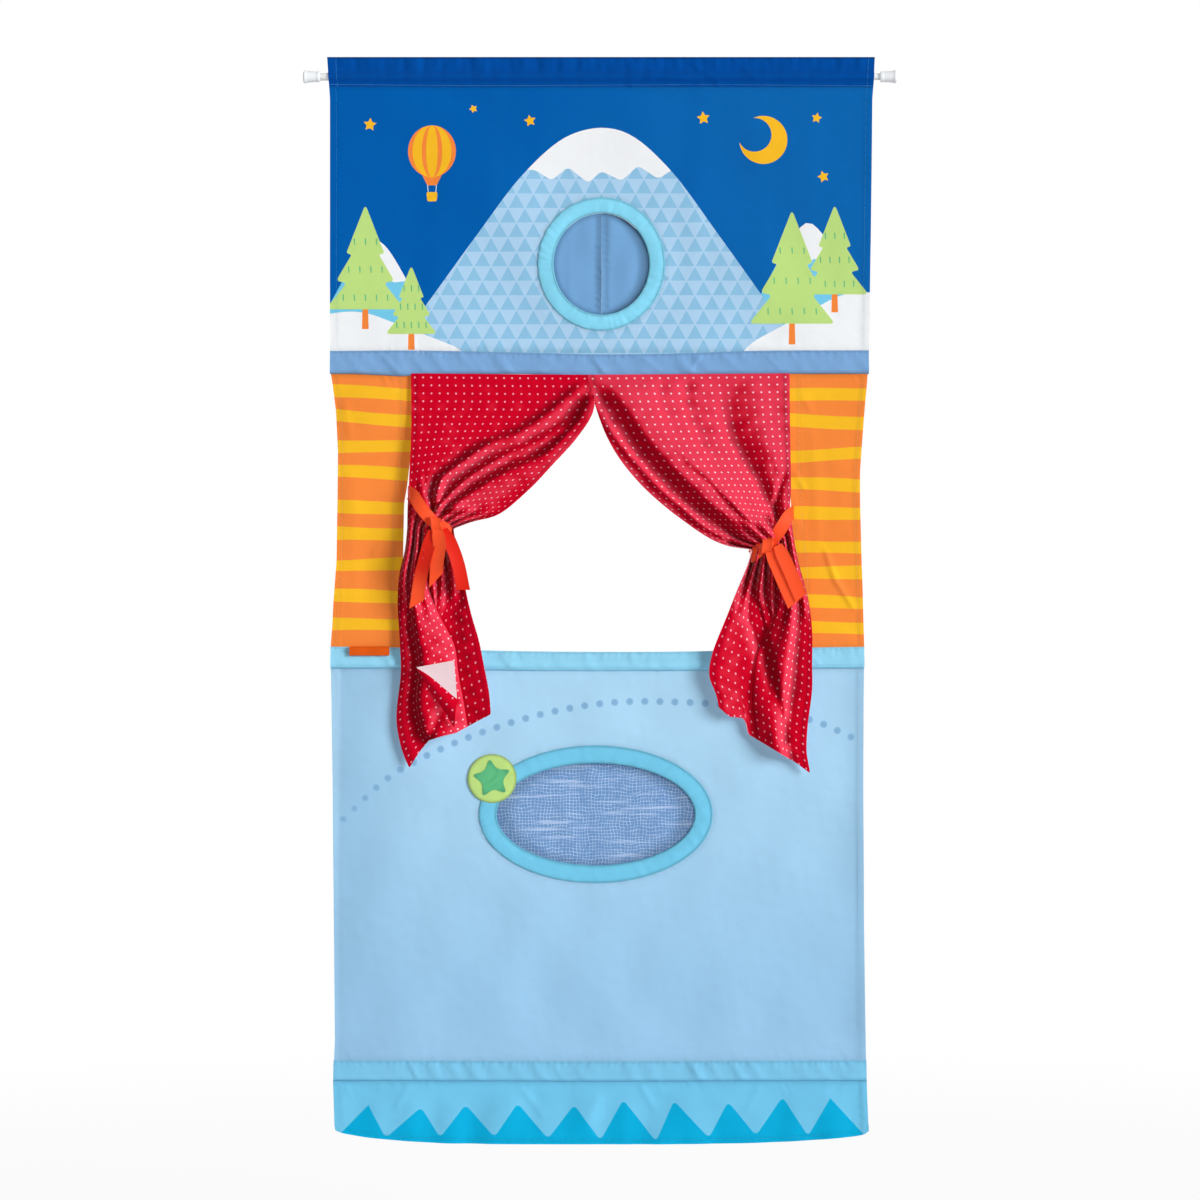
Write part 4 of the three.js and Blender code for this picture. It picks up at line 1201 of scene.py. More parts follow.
class THEATRE_OT_bands(bpy.types.Operator):
    """Build the three sewn bands, each a tube of cloth round its dowel"""

    bl_idname = "theatre.bands"
    bl_label = "Sewn bands"

    def execute(self, context):
        tones = colours()
        for word, tone in (("header", tones.header), ("sill", tones.sill), ("base", tones.base)):
            self.band(word, tone)
        return {"FINISHED"}

    def band(self, word, tone):
        shape = BAND_SHAPES[word]
        low, high = node_box(shape["node"])
        deep = half_of(shape["node"])[1] - 0.0002
        dowel_z = middle_of(word + "_dowel")[2]
        dowel_foot = node_box(word + "_dowel")[0][2]
        middle_z = middle_of(shape["node"])[2]
        left, right = edge_at(LEFT_EDGE, middle_z), edge_at(RIGHT_EDGE, middle_z)
        downs = 0.5 - 0.5 * np.cos(np.linspace(0, math.pi, 22))
        rings, seam = [], []
        for place in np.linspace(0, 1, 300):
            x = left * (1 - place) + right * place
            top = float(band_line(word, "top", x))
            foot = min(float(band_line(word, "foot", x)), dowel_foot - 0.0012)
            z = top + (foot - top) * downs
            middle = np.clip((top - dowel_z) / (top - foot), 0.5, 0.85)
            depth = deep * band_depth(downs, middle)
            xs = np.full_like(z, x)
            front = -depth - self.folds(word, xs, z, top, foot)
            back = depth + 0.6 * self.folds(word, xs + 2, z, top, foot)
            line_z = np.concatenate((z, z[-2:0:-1]))
            line_y = np.concatenate((front, back[-2:0:-1]))
            rings.append(np.column_stack((np.full_like(line_z, x), line_y, line_z)))
            # Painted shade: darker where the band runs into its top seam and under its foot.
            seam.append(np.maximum(hump(line_z - top, 0.003), hump(line_z - foot, 0.002)))
        name = shape["slot"]
        materials = [cloth_material(name, tone), reverse_of(name, tone, 0.3)]
        piece = loft(word + "_band_cloth", rings, materials, np.concatenate(seam), closed=True, turned=True)
        thicken(piece, cloth().thickness, offset=-1.0)
        finish_piece(piece, "banner", name, shape["node"])
        stitches = self.stitches(word, shape, tone, deep, dowel_z)

    def folds(self, word, x, z, top, foot):
        """Crinkles across a band, dying away at its seam and foot."""
        shape = BAND_SHAPES[word]
        seed = shape["seed"]
        inside = smoothstep(0, 0.006, top - z) * smoothstep(0, 0.005, z - foot)
        slant = soft_noise(x + 0.6 * z, z * 0.35, 0.03, seed)
        pucker = np.sin(2 * math.pi * x / cloth().pucker_pitch + 4 * soft_noise(x, z, 0.1, seed + 1))
        near = np.exp(-(top - z) / 0.006)
        creases = creased(x, z, shape["creases"])
        rise = np.maximum(0.0008 * slant + 1.5 * creases, -0.0005)
        return inside * rise + 0.0007 * pucker * near * smoothstep(0, 0.002, top - z)

    def stitches(self, word, shape, tone, deep, dowel_z):
        x = np.linspace(edge_at(LEFT_EDGE, dowel_z) + 0.002, edge_at(RIGHT_EDGE, dowel_z) - 0.002, 300)

        def face(x, z):
            high = band_line(word, "top", x)
            low = np.minimum(band_line(word, "foot", x), dowel_z - 0.0072)
            down = (high - z) / (high - low)
            middle = np.clip((high - dowel_z) / (high - low), 0.5, 0.85)
            return -deep * band_depth(down, middle) - self.folds(word, x, z, high, low) - 0.0001

        rows = [np.column_stack((x, band_line(word, "top", x) - 0.0028))]
        if word == "sill":
            rows.append(np.column_stack((x, band_line(word, "foot", x) + 0.0052 + 0.0002 * np.sin(x * 60))))
        dark = [part * 0.5 for part in tone]
        return add_stitches(word + "_band_stitches", rows, face, dark, shape["slot"])


# Round window
def window_oval(name, inwards=0.0):
    """Middle and radii of a round or oval node, brought inwards."""
    middle, half = middle_of(name), half_of(name)
    return middle[0], middle[2], half[0] - inwards, half[2] - inwards


def ring_piece(name, border, material, panel, seed, puckers):
    """An applique ring on its panel, with turned edges, puffed between its two rows of stitches."""
    middle_x, middle_z, outer_x, outer_z = window_oval(name + "_ring")
    front = node_box(name + "_ring")[0][1]
    around = 240
    turns = np.linspace(0, 2 * math.pi, around, endpoint=False)
    section = (
        (0.0, 0.0013), (0.004, 0.0007), (0.02, 0.0002), (0.05, 0.0), (0.10, 0.00035), (0.17, 0.0002),
        (0.3, -0.0002), (0.5, -0.0003), (0.7, -0.0002), (0.83, 0.0002), (0.90, 0.00035), (0.95, 0.0),
        (0.98, 0.0003), (0.997, 0.0009), (1.0, 0.0016), (0.93, 0.0018), (0.5, 0.0014), (0.07, 0.0012),
    )
    count = round(2 * math.pi * (outer_x + outer_z) / 2 / puckers)
    rings, seam = [], []
    for across, lift in section:
        x = middle_x + (outer_x - across * border) * np.cos(turns)
        z = middle_z + (outer_z - across * border) * np.sin(turns)
        loose = math.sin(math.pi * min(max(across, 0), 1)) ** 0.7 if lift < 0.001 else 0.0
        tight = math.exp(-min(across, 1 - across) * 5)
        wander = 2.5 * soft_noise(x, z, 0.08, seed)
        y = front + lift + panel(x, z)[0] + 0.00035 * loose * soft_noise(x, z, 0.022, seed + 1)
        if lift < 0.001:
            uneven = 0.5 + 0.5 * soft_noise(x, z, 0.04, seed + 2)
            y = y + 0.0006 * tight * np.sin(count * turns + wander) * uneven
        rings.append(np.column_stack((x, y, z)))
        near = hump(min(across, 1 - across), 0.12)
        seam.append(np.full(around, near))
    rings.append(rings[0])
    seam.append(seam[0])
    piece = loft(name + "_ring_cloth", rings, [material], np.concatenate(seam), closed=True)
    piece = close_up(piece, sharp=60)
    finish_piece(piece, "banner", "window_cyan_cloth", name + "_ring")
    rows = [looped(oval(*window_oval(name + "_ring", inwards), around))
            for inwards in (0.0022, border - 0.0022)]
    # The thread is dark so that the rows of stitches also stand in for painted shadow lines along the ring's
    # edges.
    add_stitches(name + "_stitches", rows, lambda x, z: front + 0.0001 + panel(x, z)[0],
                 [part * 0.4 for part in colours().cyan], "window_cyan_cloth")


def upper_relief():
    low, high = node_box("upper_panel")
    return sewn_relief(11, (high[2], low[2]), [window_oval("round_window_ring")], creases=(
        ((700, 100), (690, 330), 0.0009, 0.02), ((752, 110), (770, 300), 0.0010, 0.018),
        ((815, 100), (805, 250), 0.0008, 0.02), ((455, 110), (440, 280), 0.0006, 0.02),
    ))


def lower_relief():
    low, high = node_box("lower_panel")
    return sewn_relief(21, (high[2], low[2]), [window_oval("oval_window_ring")], calm=0.05, creases=(
        ((520, 930), (510, 1050), 0.0012, 0.03), ((700, 900), (740, 1040), 0.0012, 0.03),
        ((380, 820), (400, 1040), 0.0010, 0.035), ((800, 800), (790, 1030), 0.0010, 0.035),
        ((600, 890), (615, 1050), 0.0010, 0.025),
    ))


class THEATRE_OT_round_window(bpy.types.Operator):
    """Build the round window's ring, its two flaps and their hems"""

    bl_idname = "theatre.round_window"
    bl_label = "Round window"

    def execute(self, context):
        tones = colours()
        pale_cyan = [part * more for part, more in zip(tones.cyan, (1.42, 1.2, 1.12))]
        cyan = cloth_material("window_cyan_cloth_pale", pale_cyan, seam_shade=0.3)
        border = 0.024
        ring_piece("round_window", border, cyan, upper_relief(), 71, 0.016)
        materials = [
            cloth_material("flap_blue_cloth", tones.flap, seam_shade=0.42),
            reverse_of("flap_blue_cloth", tones.flap, 0.25),
        ]
        for word, side in (("left", -1), ("right", 1)):
            self.flap(word, side, window_oval("round_window_ring", border), materials)
        return {"FINISHED"}

    def flap(self, word, side, window, materials):
        """One half of the window's cloth: its margin stays behind the ring, and the rest swings."""
        middle_x, middle_z, inner_x, inner_z = window
        back = middle_of(word + "_window_flap")[1]
        hinge, far = (abs(node_box(word + name)[int(side > 0)][0] - middle_x)
                      for name in ("_window_flap", "_flap_hem"))
        clear = 0.00015
        start = math.acos(hinge / (inner_x - clear))
        end = math.acos(clear / 2 / (inner_x - clear))
        upper = oval(0, 0, inner_x - clear, inner_z - clear, 40, end, start)
        turn = math.acos(hinge / far)
        margin = oval(0, 0, far, inner_z + far - inner_x, 40, turn, -turn)
        outline = np.vstack((upper, margin, (upper * (1, -1))[::-1])) * (side, 1) + (middle_x, middle_z)
        hem = 0.008 if side > 0 else 0.005
        seed = 81 if side > 0 else 91

        def relief(x, z):
            away = np.abs(x - middle_x)
            free = smoothstep(hinge + 0.004, hinge - 0.012, away)
            folded = smoothstep(hem + 0.001, hem - 0.001, away)
            near = hump(away - hem, 0.004)
            pucker = np.sin(2 * math.pi * z / 0.009 + 2 * soft_noise(x, z, 0.05, seed))
            y = back + free * 0.0008 * soft_noise(x, z * 0.5, 0.05, seed + 1) - 0.0007 * folded
            y = y + free * (0.0006 * near * pucker + 0.0003 * folded * pucker)
            y = y + 0.0005 * smoothstep(hinge - 0.003, hinge + 0.003, away)
            # Painted shade: the seam mask darkens the flap along the ring's inner edge where the ring's
            # shadow falls, in a crescent on the right flap, and beside the slit on the left flap.
            rim = np.hypot((x - middle_x) / inner_x, (z - middle_z) / inner_z)
            shadow_crescent_rim = np.hypot((x - middle_x + 0.016) / inner_x, (z - middle_z) / inner_z)
            edge = 0.7 * smoothstep(0.88, 1.0, rim) + 0.9 * smoothstep(0.93, 1.12, shadow_crescent_rim) * (side > 0)
            slot = 0.8 * smoothstep(0.009, 0.0, away) if side < 0 else 0.0
            return y, np.maximum(0.6 * near, np.maximum(edge, slot))

        piece = cut_sheet(word + "_flap_cloth", outline, relief, materials, step=0.0035)
        finish_piece(piece, "banner", "flap_blue_cloth", word + "_window_flap", word + "_flap_hem")
        reach = inner_z * math.sqrt(1 - (hem / inner_x) ** 2) - 0.003
        z = np.linspace(middle_z - reach, middle_z + reach, 60)
        row = np.column_stack((np.full(60, middle_x + side * hem), z))
        stitches = add_stitches(word + "_flap_stitches", [row], front_of(relief), (0.12, 0.27, 0.5),
                                "flap_blue_cloth", word + "_flap")
        piece.parent = None
        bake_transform(piece)


# The upper panel's print: a tiled mountain, firs, a moon and a balloon, of this part's own design
def star_outline(x, z, radius, points=5, inner=0.45, turn=0.0, round_over=0.0):
    """A star with a point at the top, its tips rounded where asked."""
    corners = []
    for corner in range(2 * points):
        angle = math.pi / 2 + turn + math.pi * corner / points
        reach = radius * (inner if corner % 2 else 1.0)
        corners.append((x + reach * math.cos(angle), z + reach * math.sin(angle)))
    return rounded(corners, round_over) if round_over else np.array(corners)


def crescent(x, z, radius, turn, tips=0.62, shift=0.42):
    """A crescent moon that opens in one direction, its two arcs meeting at its tips."""
    outer = oval(0, 0, radius, radius, 44, tips, 2 * math.pi - tips)
    tip = outer[0]
    middle = shift * radius
    reach = math.hypot(tip[0] - middle, tip[1])
    angle = math.atan2(tip[1], tip[0] - middle)
    inner = oval(middle, 0, reach, reach, 34, 2 * math.pi - angle, angle)[1:-1]
    points = np.vstack((outer, inner))
    cosine, sine = math.cos(turn), math.sin(turn)
    return points @ np.array([[cosine, sine], [-sine, cosine]]) + (x, z)


def rounded(corners, radius, steps=5):
    """An outline with each corner replaced by a short curve."""
    result = []
    count = len(corners)
    for place in range(count):
        before = np.array(corners[place - 1], float)
        here = np.array(corners[place], float)
        after = np.array(corners[(place + 1) % count], float)
        reach = min(radius, 0.45 * np.linalg.norm(before - here), 0.45 * np.linalg.norm(after - here))
        start = here + (before - here) / np.linalg.norm(before - here) * reach
        end = here + (after - here) / np.linalg.norm(after - here) * reach
        for along in np.linspace(0, 1, steps):
            result.append((1 - along) ** 2 * start + 2 * along * (1 - along) * here + along ** 2 * end)
    return np.array(result)


def fir_outline(x, foot, height, tiers=3):
    """A fir of stacked tiers with drooping rounded corners."""
    half = 0.34 * height
    right = []
    for tier in range(tiers):
        low = foot + height * (0.10 + 0.72 * tier / tiers)
        wide = half * (1 - 0.26 * tier)
        high = low + height * 0.80 / tiers * 0.86
        right += [(wide, low), (wide * 0.46, high)]
    right[-1] = (0.0, foot + height)
    left = [(-across, up) for across, up in right[-2::-1]]
    corners = [(x + across, up) for across, up in right + left]
    return rounded(corners, 0.008)


def fir_marks(x, foot, height):
    """Short strokes on a fir's tiers."""
    stroke = np.array(((-0.0011, 0.010), (-0.0003, 0), (0.0013, 0.001), (0.0009, 0.010)))
    marks = []
    for tier in range(3):
        low = foot + height * (0.17 + 0.72 * tier / 3)
        count = 5 - tier
        marks += [stroke + (x + (place - (count - 1) / 2) * height * 0.095, low) for place in range(count)]
    return marks


class THEATRE_OT_upper_panel(bpy.types.Operator):
    """Build the upper panel with its printed mountain scene and the hole for the round window"""

    bl_idname = "theatre.upper_panel"
    bl_label = "Upper panel"

    def execute(self, context):
        tones = colours()
        low, high = node_box("upper_panel")
        tuck = cloth().seam_tuck
        window = window_oval("round_window_ring", 0.021)
        top = high[2] + tuck
        heights = np.linspace(top, low[2] - tuck, 60)
        left, right = side_rows(heights)
        x = np.linspace(left[-1, 0], right[-1, 0], 80)
        foot = np.column_stack((x, band_line("header", "top", x) - tuck))
        outline = np.vstack((left[:-1], foot, right[-2::-1]))
        relief = upper_relief()
        names = ("sky", "tile_light", "tile_dark", "snow", "lime", "leaf", "yellow", "orange", "cyan")

        # Painted light: the sky grows paler and more teal towards the right, as if lit more there, with faint
        # vertical bands of painted shade.
        def sky_ground(tree, where):
            across = spread(tree, parts(tree, where)[0], -0.25, 0.3)
            stripes = stretched(tree, where, (16.0, 1.0, 1.2))
            across = plus(tree, across, minus(tree, noise(tree, stripes, 1.0), 0.5))
            pale = (0.004, tones.sky[1] * 1.2, tones.sky[2] * 1.04)
            return mixed(tree, across, solid(tones.sky), solid(pale))

        materials = [cloth_material("upper_print_sky", tones.sky, printed=sky_ground, polish=0.02)]
        materials += [cloth_material("upper_print_" + name, getattr(tones, name)) for name in names[1:]]
        materials.append(reverse_of("upper_print", tones.sky))
        numbers = {name: place for place, name in enumerate(names)}
        prints = self.print_faces(numbers, low[2], float(window[0]))
        piece = cut_sheet("upper_panel_cloth", outline, relief, materials, prints, [oval(*window)])
        finish_piece(piece, "banner", "night_blue_cloth", "upper_panel")
        stitches = add_stitches("upper_panel_stitches", side_rows(heights, cloth().hem_width),
                                front_of(relief), (0.12, 0.52, 0.88), "night_blue_cloth")
        return {"FINISHED"}

    def print_faces(self, numbers, foot, middle):
        """Every printed shape, the ones in front last."""
        below = foot - 0.02
        mountain = smooth_path((
            (middle - 0.335, below), (middle - 0.27, foot + 0.06), (middle - 0.19, foot + 0.17),
            (middle - 0.115, foot + 0.268), (middle - 0.045, foot + 0.325), (middle + 0.03, foot + 0.33),
            (middle + 0.10, foot + 0.275), (middle + 0.175, foot + 0.175), (middle + 0.25, foot + 0.07),
            (middle + 0.315, below),
        ), 90)
        prints = []

        def add(colour, *outlines):
            prints.append((numbers[colour], *outlines))

        for x, height, wide in ((-0.335, 0.165, 0.12), (0.315, 0.19, 0.13)):
            size = np.array((wide, height))
            slopes = np.array(((-0.62, 0.38), (-0.17, 0.93), (0.1, 0.96), (0.55, 0.42))) * size + (x, foot)
            peak = smooth_path(((x - wide, below), *slopes, (x + wide, below)), 50)
            cap = ((-1, 0.66), (-0.3, 0.72), (-0.12, 0.6), (0.05, 0.74), (0.2, 0.62), (1, 0.7), (1, 1.2),
                   (-1, 1.2))
            add("cyan", peak)
            add("snow", rounded(np.array(cap) * size + (x, foot), 0.006), peak)
        add("tile_light", mountain)
        tile_wide, tile_high, tile_gap = 0.0255, 0.0218, 0.0006
        tiled_height = 0.36
        half = tile_wide / 2 - 2 * tile_gap
        tile = np.array(((-half, tile_gap), (half, tile_gap), (0, tile_high - tile_gap)))
        for row in range(int(tiled_height / tile_high)):
            low = foot - 0.004 + row * tile_high
            reach = 0.34 * (1 - (row * tile_high / tiled_height) ** 1.5) + 0.03
            count = int(reach / tile_wide) + 1
            for place in range(-count, count + 1):
                x = middle + (place + 0.5 * (row % 2)) * tile_wide
                add("tile_dark", tile + (x, low), mountain)
        cap = (
            (-0.3, -0.004), (-0.1, 0), (-0.075, -0.016), (-0.05, 0.004), (-0.02, -0.02), (0, -0.002),
            (0.03, -0.017), (0.055, 0.006), (0.085, -0.014), (0.11, 0.002), (0.3, 0), (0.3, 0.1), (-0.3, 0.1),
        )
        add("snow", rounded(np.array(cap) + (middle, foot + 0.272), 0.007), mountain)
        for points in (
            ((-0.45, foot + 0.05), (-0.36, foot + 0.062), (-0.29, foot + 0.035), (-0.21, foot + 0.004),
             (-0.19, below), (-0.45, below)),
            ((0.45, foot + 0.085), (0.37, foot + 0.09), (0.30, foot + 0.052), (0.225, foot + 0.012),
             (0.2, below), (0.45, below)),
        ):
            add("snow", rounded(points, 0.03, 8))
        for x, rise, height in (
            (-0.352, 0.045, 0.175), (-0.283, 0.014, 0.115), (0.352, 0.07, 0.15), (0.288, 0.022, 0.19),
        ):
            trunk = np.array(((-0.005, -0.012), (0.005, -0.012), (0.004, 0.03), (-0.004, 0.03)))
            add("orange", trunk + (x, foot + rise))
            fir = fir_outline(x, foot + rise, height)
            add("lime", fir)
            for mark in fir_marks(x, foot + rise, height):
                add("leaf", mark, fir)
        self.sky_faces(add)
        return prints

    def sky_faces(self, add):
        """The moon, the stars and the balloon."""
        add("yellow", crescent(0.245, -0.095, 0.036, math.radians(150)))
        for x, z, radius, turn in (
            (0.155, -0.062, 0.0105, 0.1), (0.325, -0.062, 0.0085, -0.2), (0.335, -0.15, 0.0095, 0.3),
            (-0.105, -0.066, 0.0095, 0.2), (-0.345, -0.072, 0.0105, -0.1), (-0.19, -0.048, 0.007, 0.4),
        ):
            add("yellow", star_outline(x, z, radius, 5, 0.48, turn, 0.0015))
        x, z, radius = -0.252, -0.112, 0.036
        bag = oval(x, z, radius, radius * 1.08, 40, -math.pi / 2 + 0.42, 1.5 * math.pi - 0.42)
        bag = np.vstack((bag, [(x - 0.007, z - 0.051), (x + 0.007, z - 0.051)]))
        add("orange", bag)
        ups = np.linspace(-1, 1, 24)
        swell = radius * np.sqrt(np.clip(1 - ups ** 2, 0, 1))
        heights = z + ups * radius * 1.1
        for bend in (-0.62, 0.0, 0.62):
            middle = x + bend * swell
            half = 0.24 * swell * (1 - 0.35 * abs(bend))
            gore = np.vstack((np.column_stack((middle + half, heights)),
                              np.column_stack((middle - half, heights))[::-1][1:-1]))
            add("yellow", gore, bag)
        rope = np.array(((0.0062, -0.05), (0.0072, -0.05), (0.0062, -0.062), (0.0052, -0.062)))
        for side in (-1, 1):
            add("snow", rope * (side, 1) + (x, z))
        basket = np.array(((-0.0085, -0.061), (-0.007, -0.075), (0.007, -0.075), (0.0085, -0.061)))
        add("yellow", rounded(basket + (x, z), 0.003))


# Pillars. Each stripe is (left end's top, left end's foot, right end's top, right end's foot) in rows, and an
# inner edge is (row, column) from the top down
LEFT_STRIPES = (
    (384, 397, 389, 401), (408.6, 420, 415.7, 428), (439.6, 452.4, 441, 452.4), (463.7, 476.5, 468.8, 481),
    (500, 512.5, 502.4, 514.7), (526, 539, 529, 542), (560.4, 572, 557, 569), (588, 600.5, 592, 604.4),
    (618, 630, 619, 631),
)
RIGHT_STRIPES = (
    (388.8, 401.4, 387.8, 400.4), (413.3, 426.3, 417.3, 430.4), (450.8, 463, 446.7, 458.6),
    (476.5, 489, 480, 492.7), (506.5, 518.8, 507.5, 520), (540, 552, 542, 554.4), (567, 579, 566, 578.6),
    (593.3, 605.3, 597.7, 610), (620.6, 633, 622.5, 634.6),
)
LEFT_PILLAR_INNER = (
    (373, 411.8), (452, 411), (484, 407.4), (503, 404.2), (560, 403), (600, 402.4), (648, 402),
)
RIGHT_PILLAR_INNER = (
    (373, 788.2), (452, 788.6), (487, 790), (519, 791.8), (537, 792.7), (560, 796), (600, 798), (648, 798),
)


class THEATRE_OT_pillars(bpy.types.Operator):
    """Build the two striped pillars beside the stage"""

    bl_idname = "theatre.pillars"
    bl_label = "Pillars"

    def execute(self, context):
        self.pillar("left", LEFT_EDGE, LEFT_PILLAR_INNER, LEFT_STRIPES, 101, (
            ((381, 542), (373, 557), 0.0016, 0.003), ((352, 470), (356, 620), 0.0012, 0.012),
            ((385, 610), (400, 628), 0.0012, 0.004), ((345, 400), (350, 440), 0.0010, 0.006),
        ))
        self.pillar("right", RIGHT_EDGE, RIGHT_PILLAR_INNER, RIGHT_STRIPES, 111, (
            ((825, 550), (836, 582), 0.0028, 0.0038), ((834, 578), (855, 610), 0.0026, 0.004),
            ((812, 430), (818, 540), 0.0014, 0.01), ((793, 470), (806, 492), 0.0012, 0.004),
            ((802, 395), (812, 412), 0.0010, 0.004),
        ))
        return {"FINISHED"}

    def pillar(self, word, edge, inner, stripes, seed, creases):
        tones = colours()
        tuck = 0.0018
        top_z, foot_z = photo_z(373), photo_z(647)
        heights = np.linspace(top_z, foot_z, 50)
        inside = edge_at(inner, heights)
        outside = edge_at(edge, heights)
        first, second = (outside, inside) if word == "left" else (inside, outside)
        x_top = np.linspace(second[0], first[0], 16)
        x_foot = np.linspace(first[-1], second[-1], 16)
        top = np.column_stack((x_top, np.minimum(band_line("header", "foot", x_top), top_z) + tuck))
        foot = np.column_stack((x_foot, band_line("sill", "top", x_foot) - tuck))
        left, right = (np.column_stack((side, heights))[1:-1] for side in (first, second))
        outline = np.vstack((left, foot, right[::-1], top))
        low, high = node_box(word + "_pillar")
        base_relief = sewn_relief(seed, (high[2], low[2]), hems=False, creases=creases, calm=0.02)
        hem = cloth().hem_width * 0.8
        inner_hem = 0.0155

        def relief(x, z):
            y, seam = base_relief(x, z)
            away = np.minimum(np.abs(x - edge_at(inner, z)) + hem - inner_hem, np.abs(x - edge_at(edge, z)))
            folded = smoothstep(hem + 0.001, hem - 0.001, away)
            near = hump(away - hem, 0.003)
            pucker = np.sin(2 * math.pi * z / 0.010 + 3 * soft_noise(x, z, 0.06, seed + 7))
            y = y - 0.0004 * folded + 0.0003 * near * pucker
            return y, np.maximum(seam, 0.8 * near)

        printed = []
        left_x, right_x = outline[:, 0].min() - 0.01, outline[:, 0].max() + 0.01
        across = np.linspace(0, 1, 14)
        x = left_x + (right_x - left_x) * across
        for number, stripe in enumerate(stripes):
            left_top, left_foot, right_top, right_foot = photo_z(stripe)
            upper = left_top + (right_top - left_top) * across + 0.0009 * np.sin(across * 5 + number * 1.7)
            lower = left_foot + (right_foot - left_foot) * across + 0.0009 * np.sin(across * 4 + number * 2.3)
            printed.append((1, np.vstack((np.column_stack((x, lower)), np.column_stack((x, upper))[::-1]))))
        materials = [
            cloth_material("orange_cloth", tones.orange), cloth_material("orange_cloth_stripe", tones.yellow),
            reverse_of("orange_cloth", tones.orange),
        ]
        piece = cut_sheet(word + "_pillar_cloth", outline, relief, materials, printed, step=0.004)
        finish_piece(piece, "banner", "orange_cloth", word + "_pillar")
        sign = 1 if word == "left" else -1
        rows = (outside + sign * hem, inside - sign * inner_hem)
        paths = [np.column_stack((row, heights))[1:-1] for row in rows]
        stitches = add_stitches(word + "_pillar_stitches", paths, front_of(relief), (1.0, 0.66, 0.36),
                                "orange_cloth")


# Curtains
# Where one curtain hangs. Its edges are (column, row) pixels: down to the tie, and then down its tail
CurtainShape = namedtuple("CurtainShape", "word side flat_width outer free tail_outer tail_free outer_tie"
                                          " free_tie front folds tail tail_folds foot")

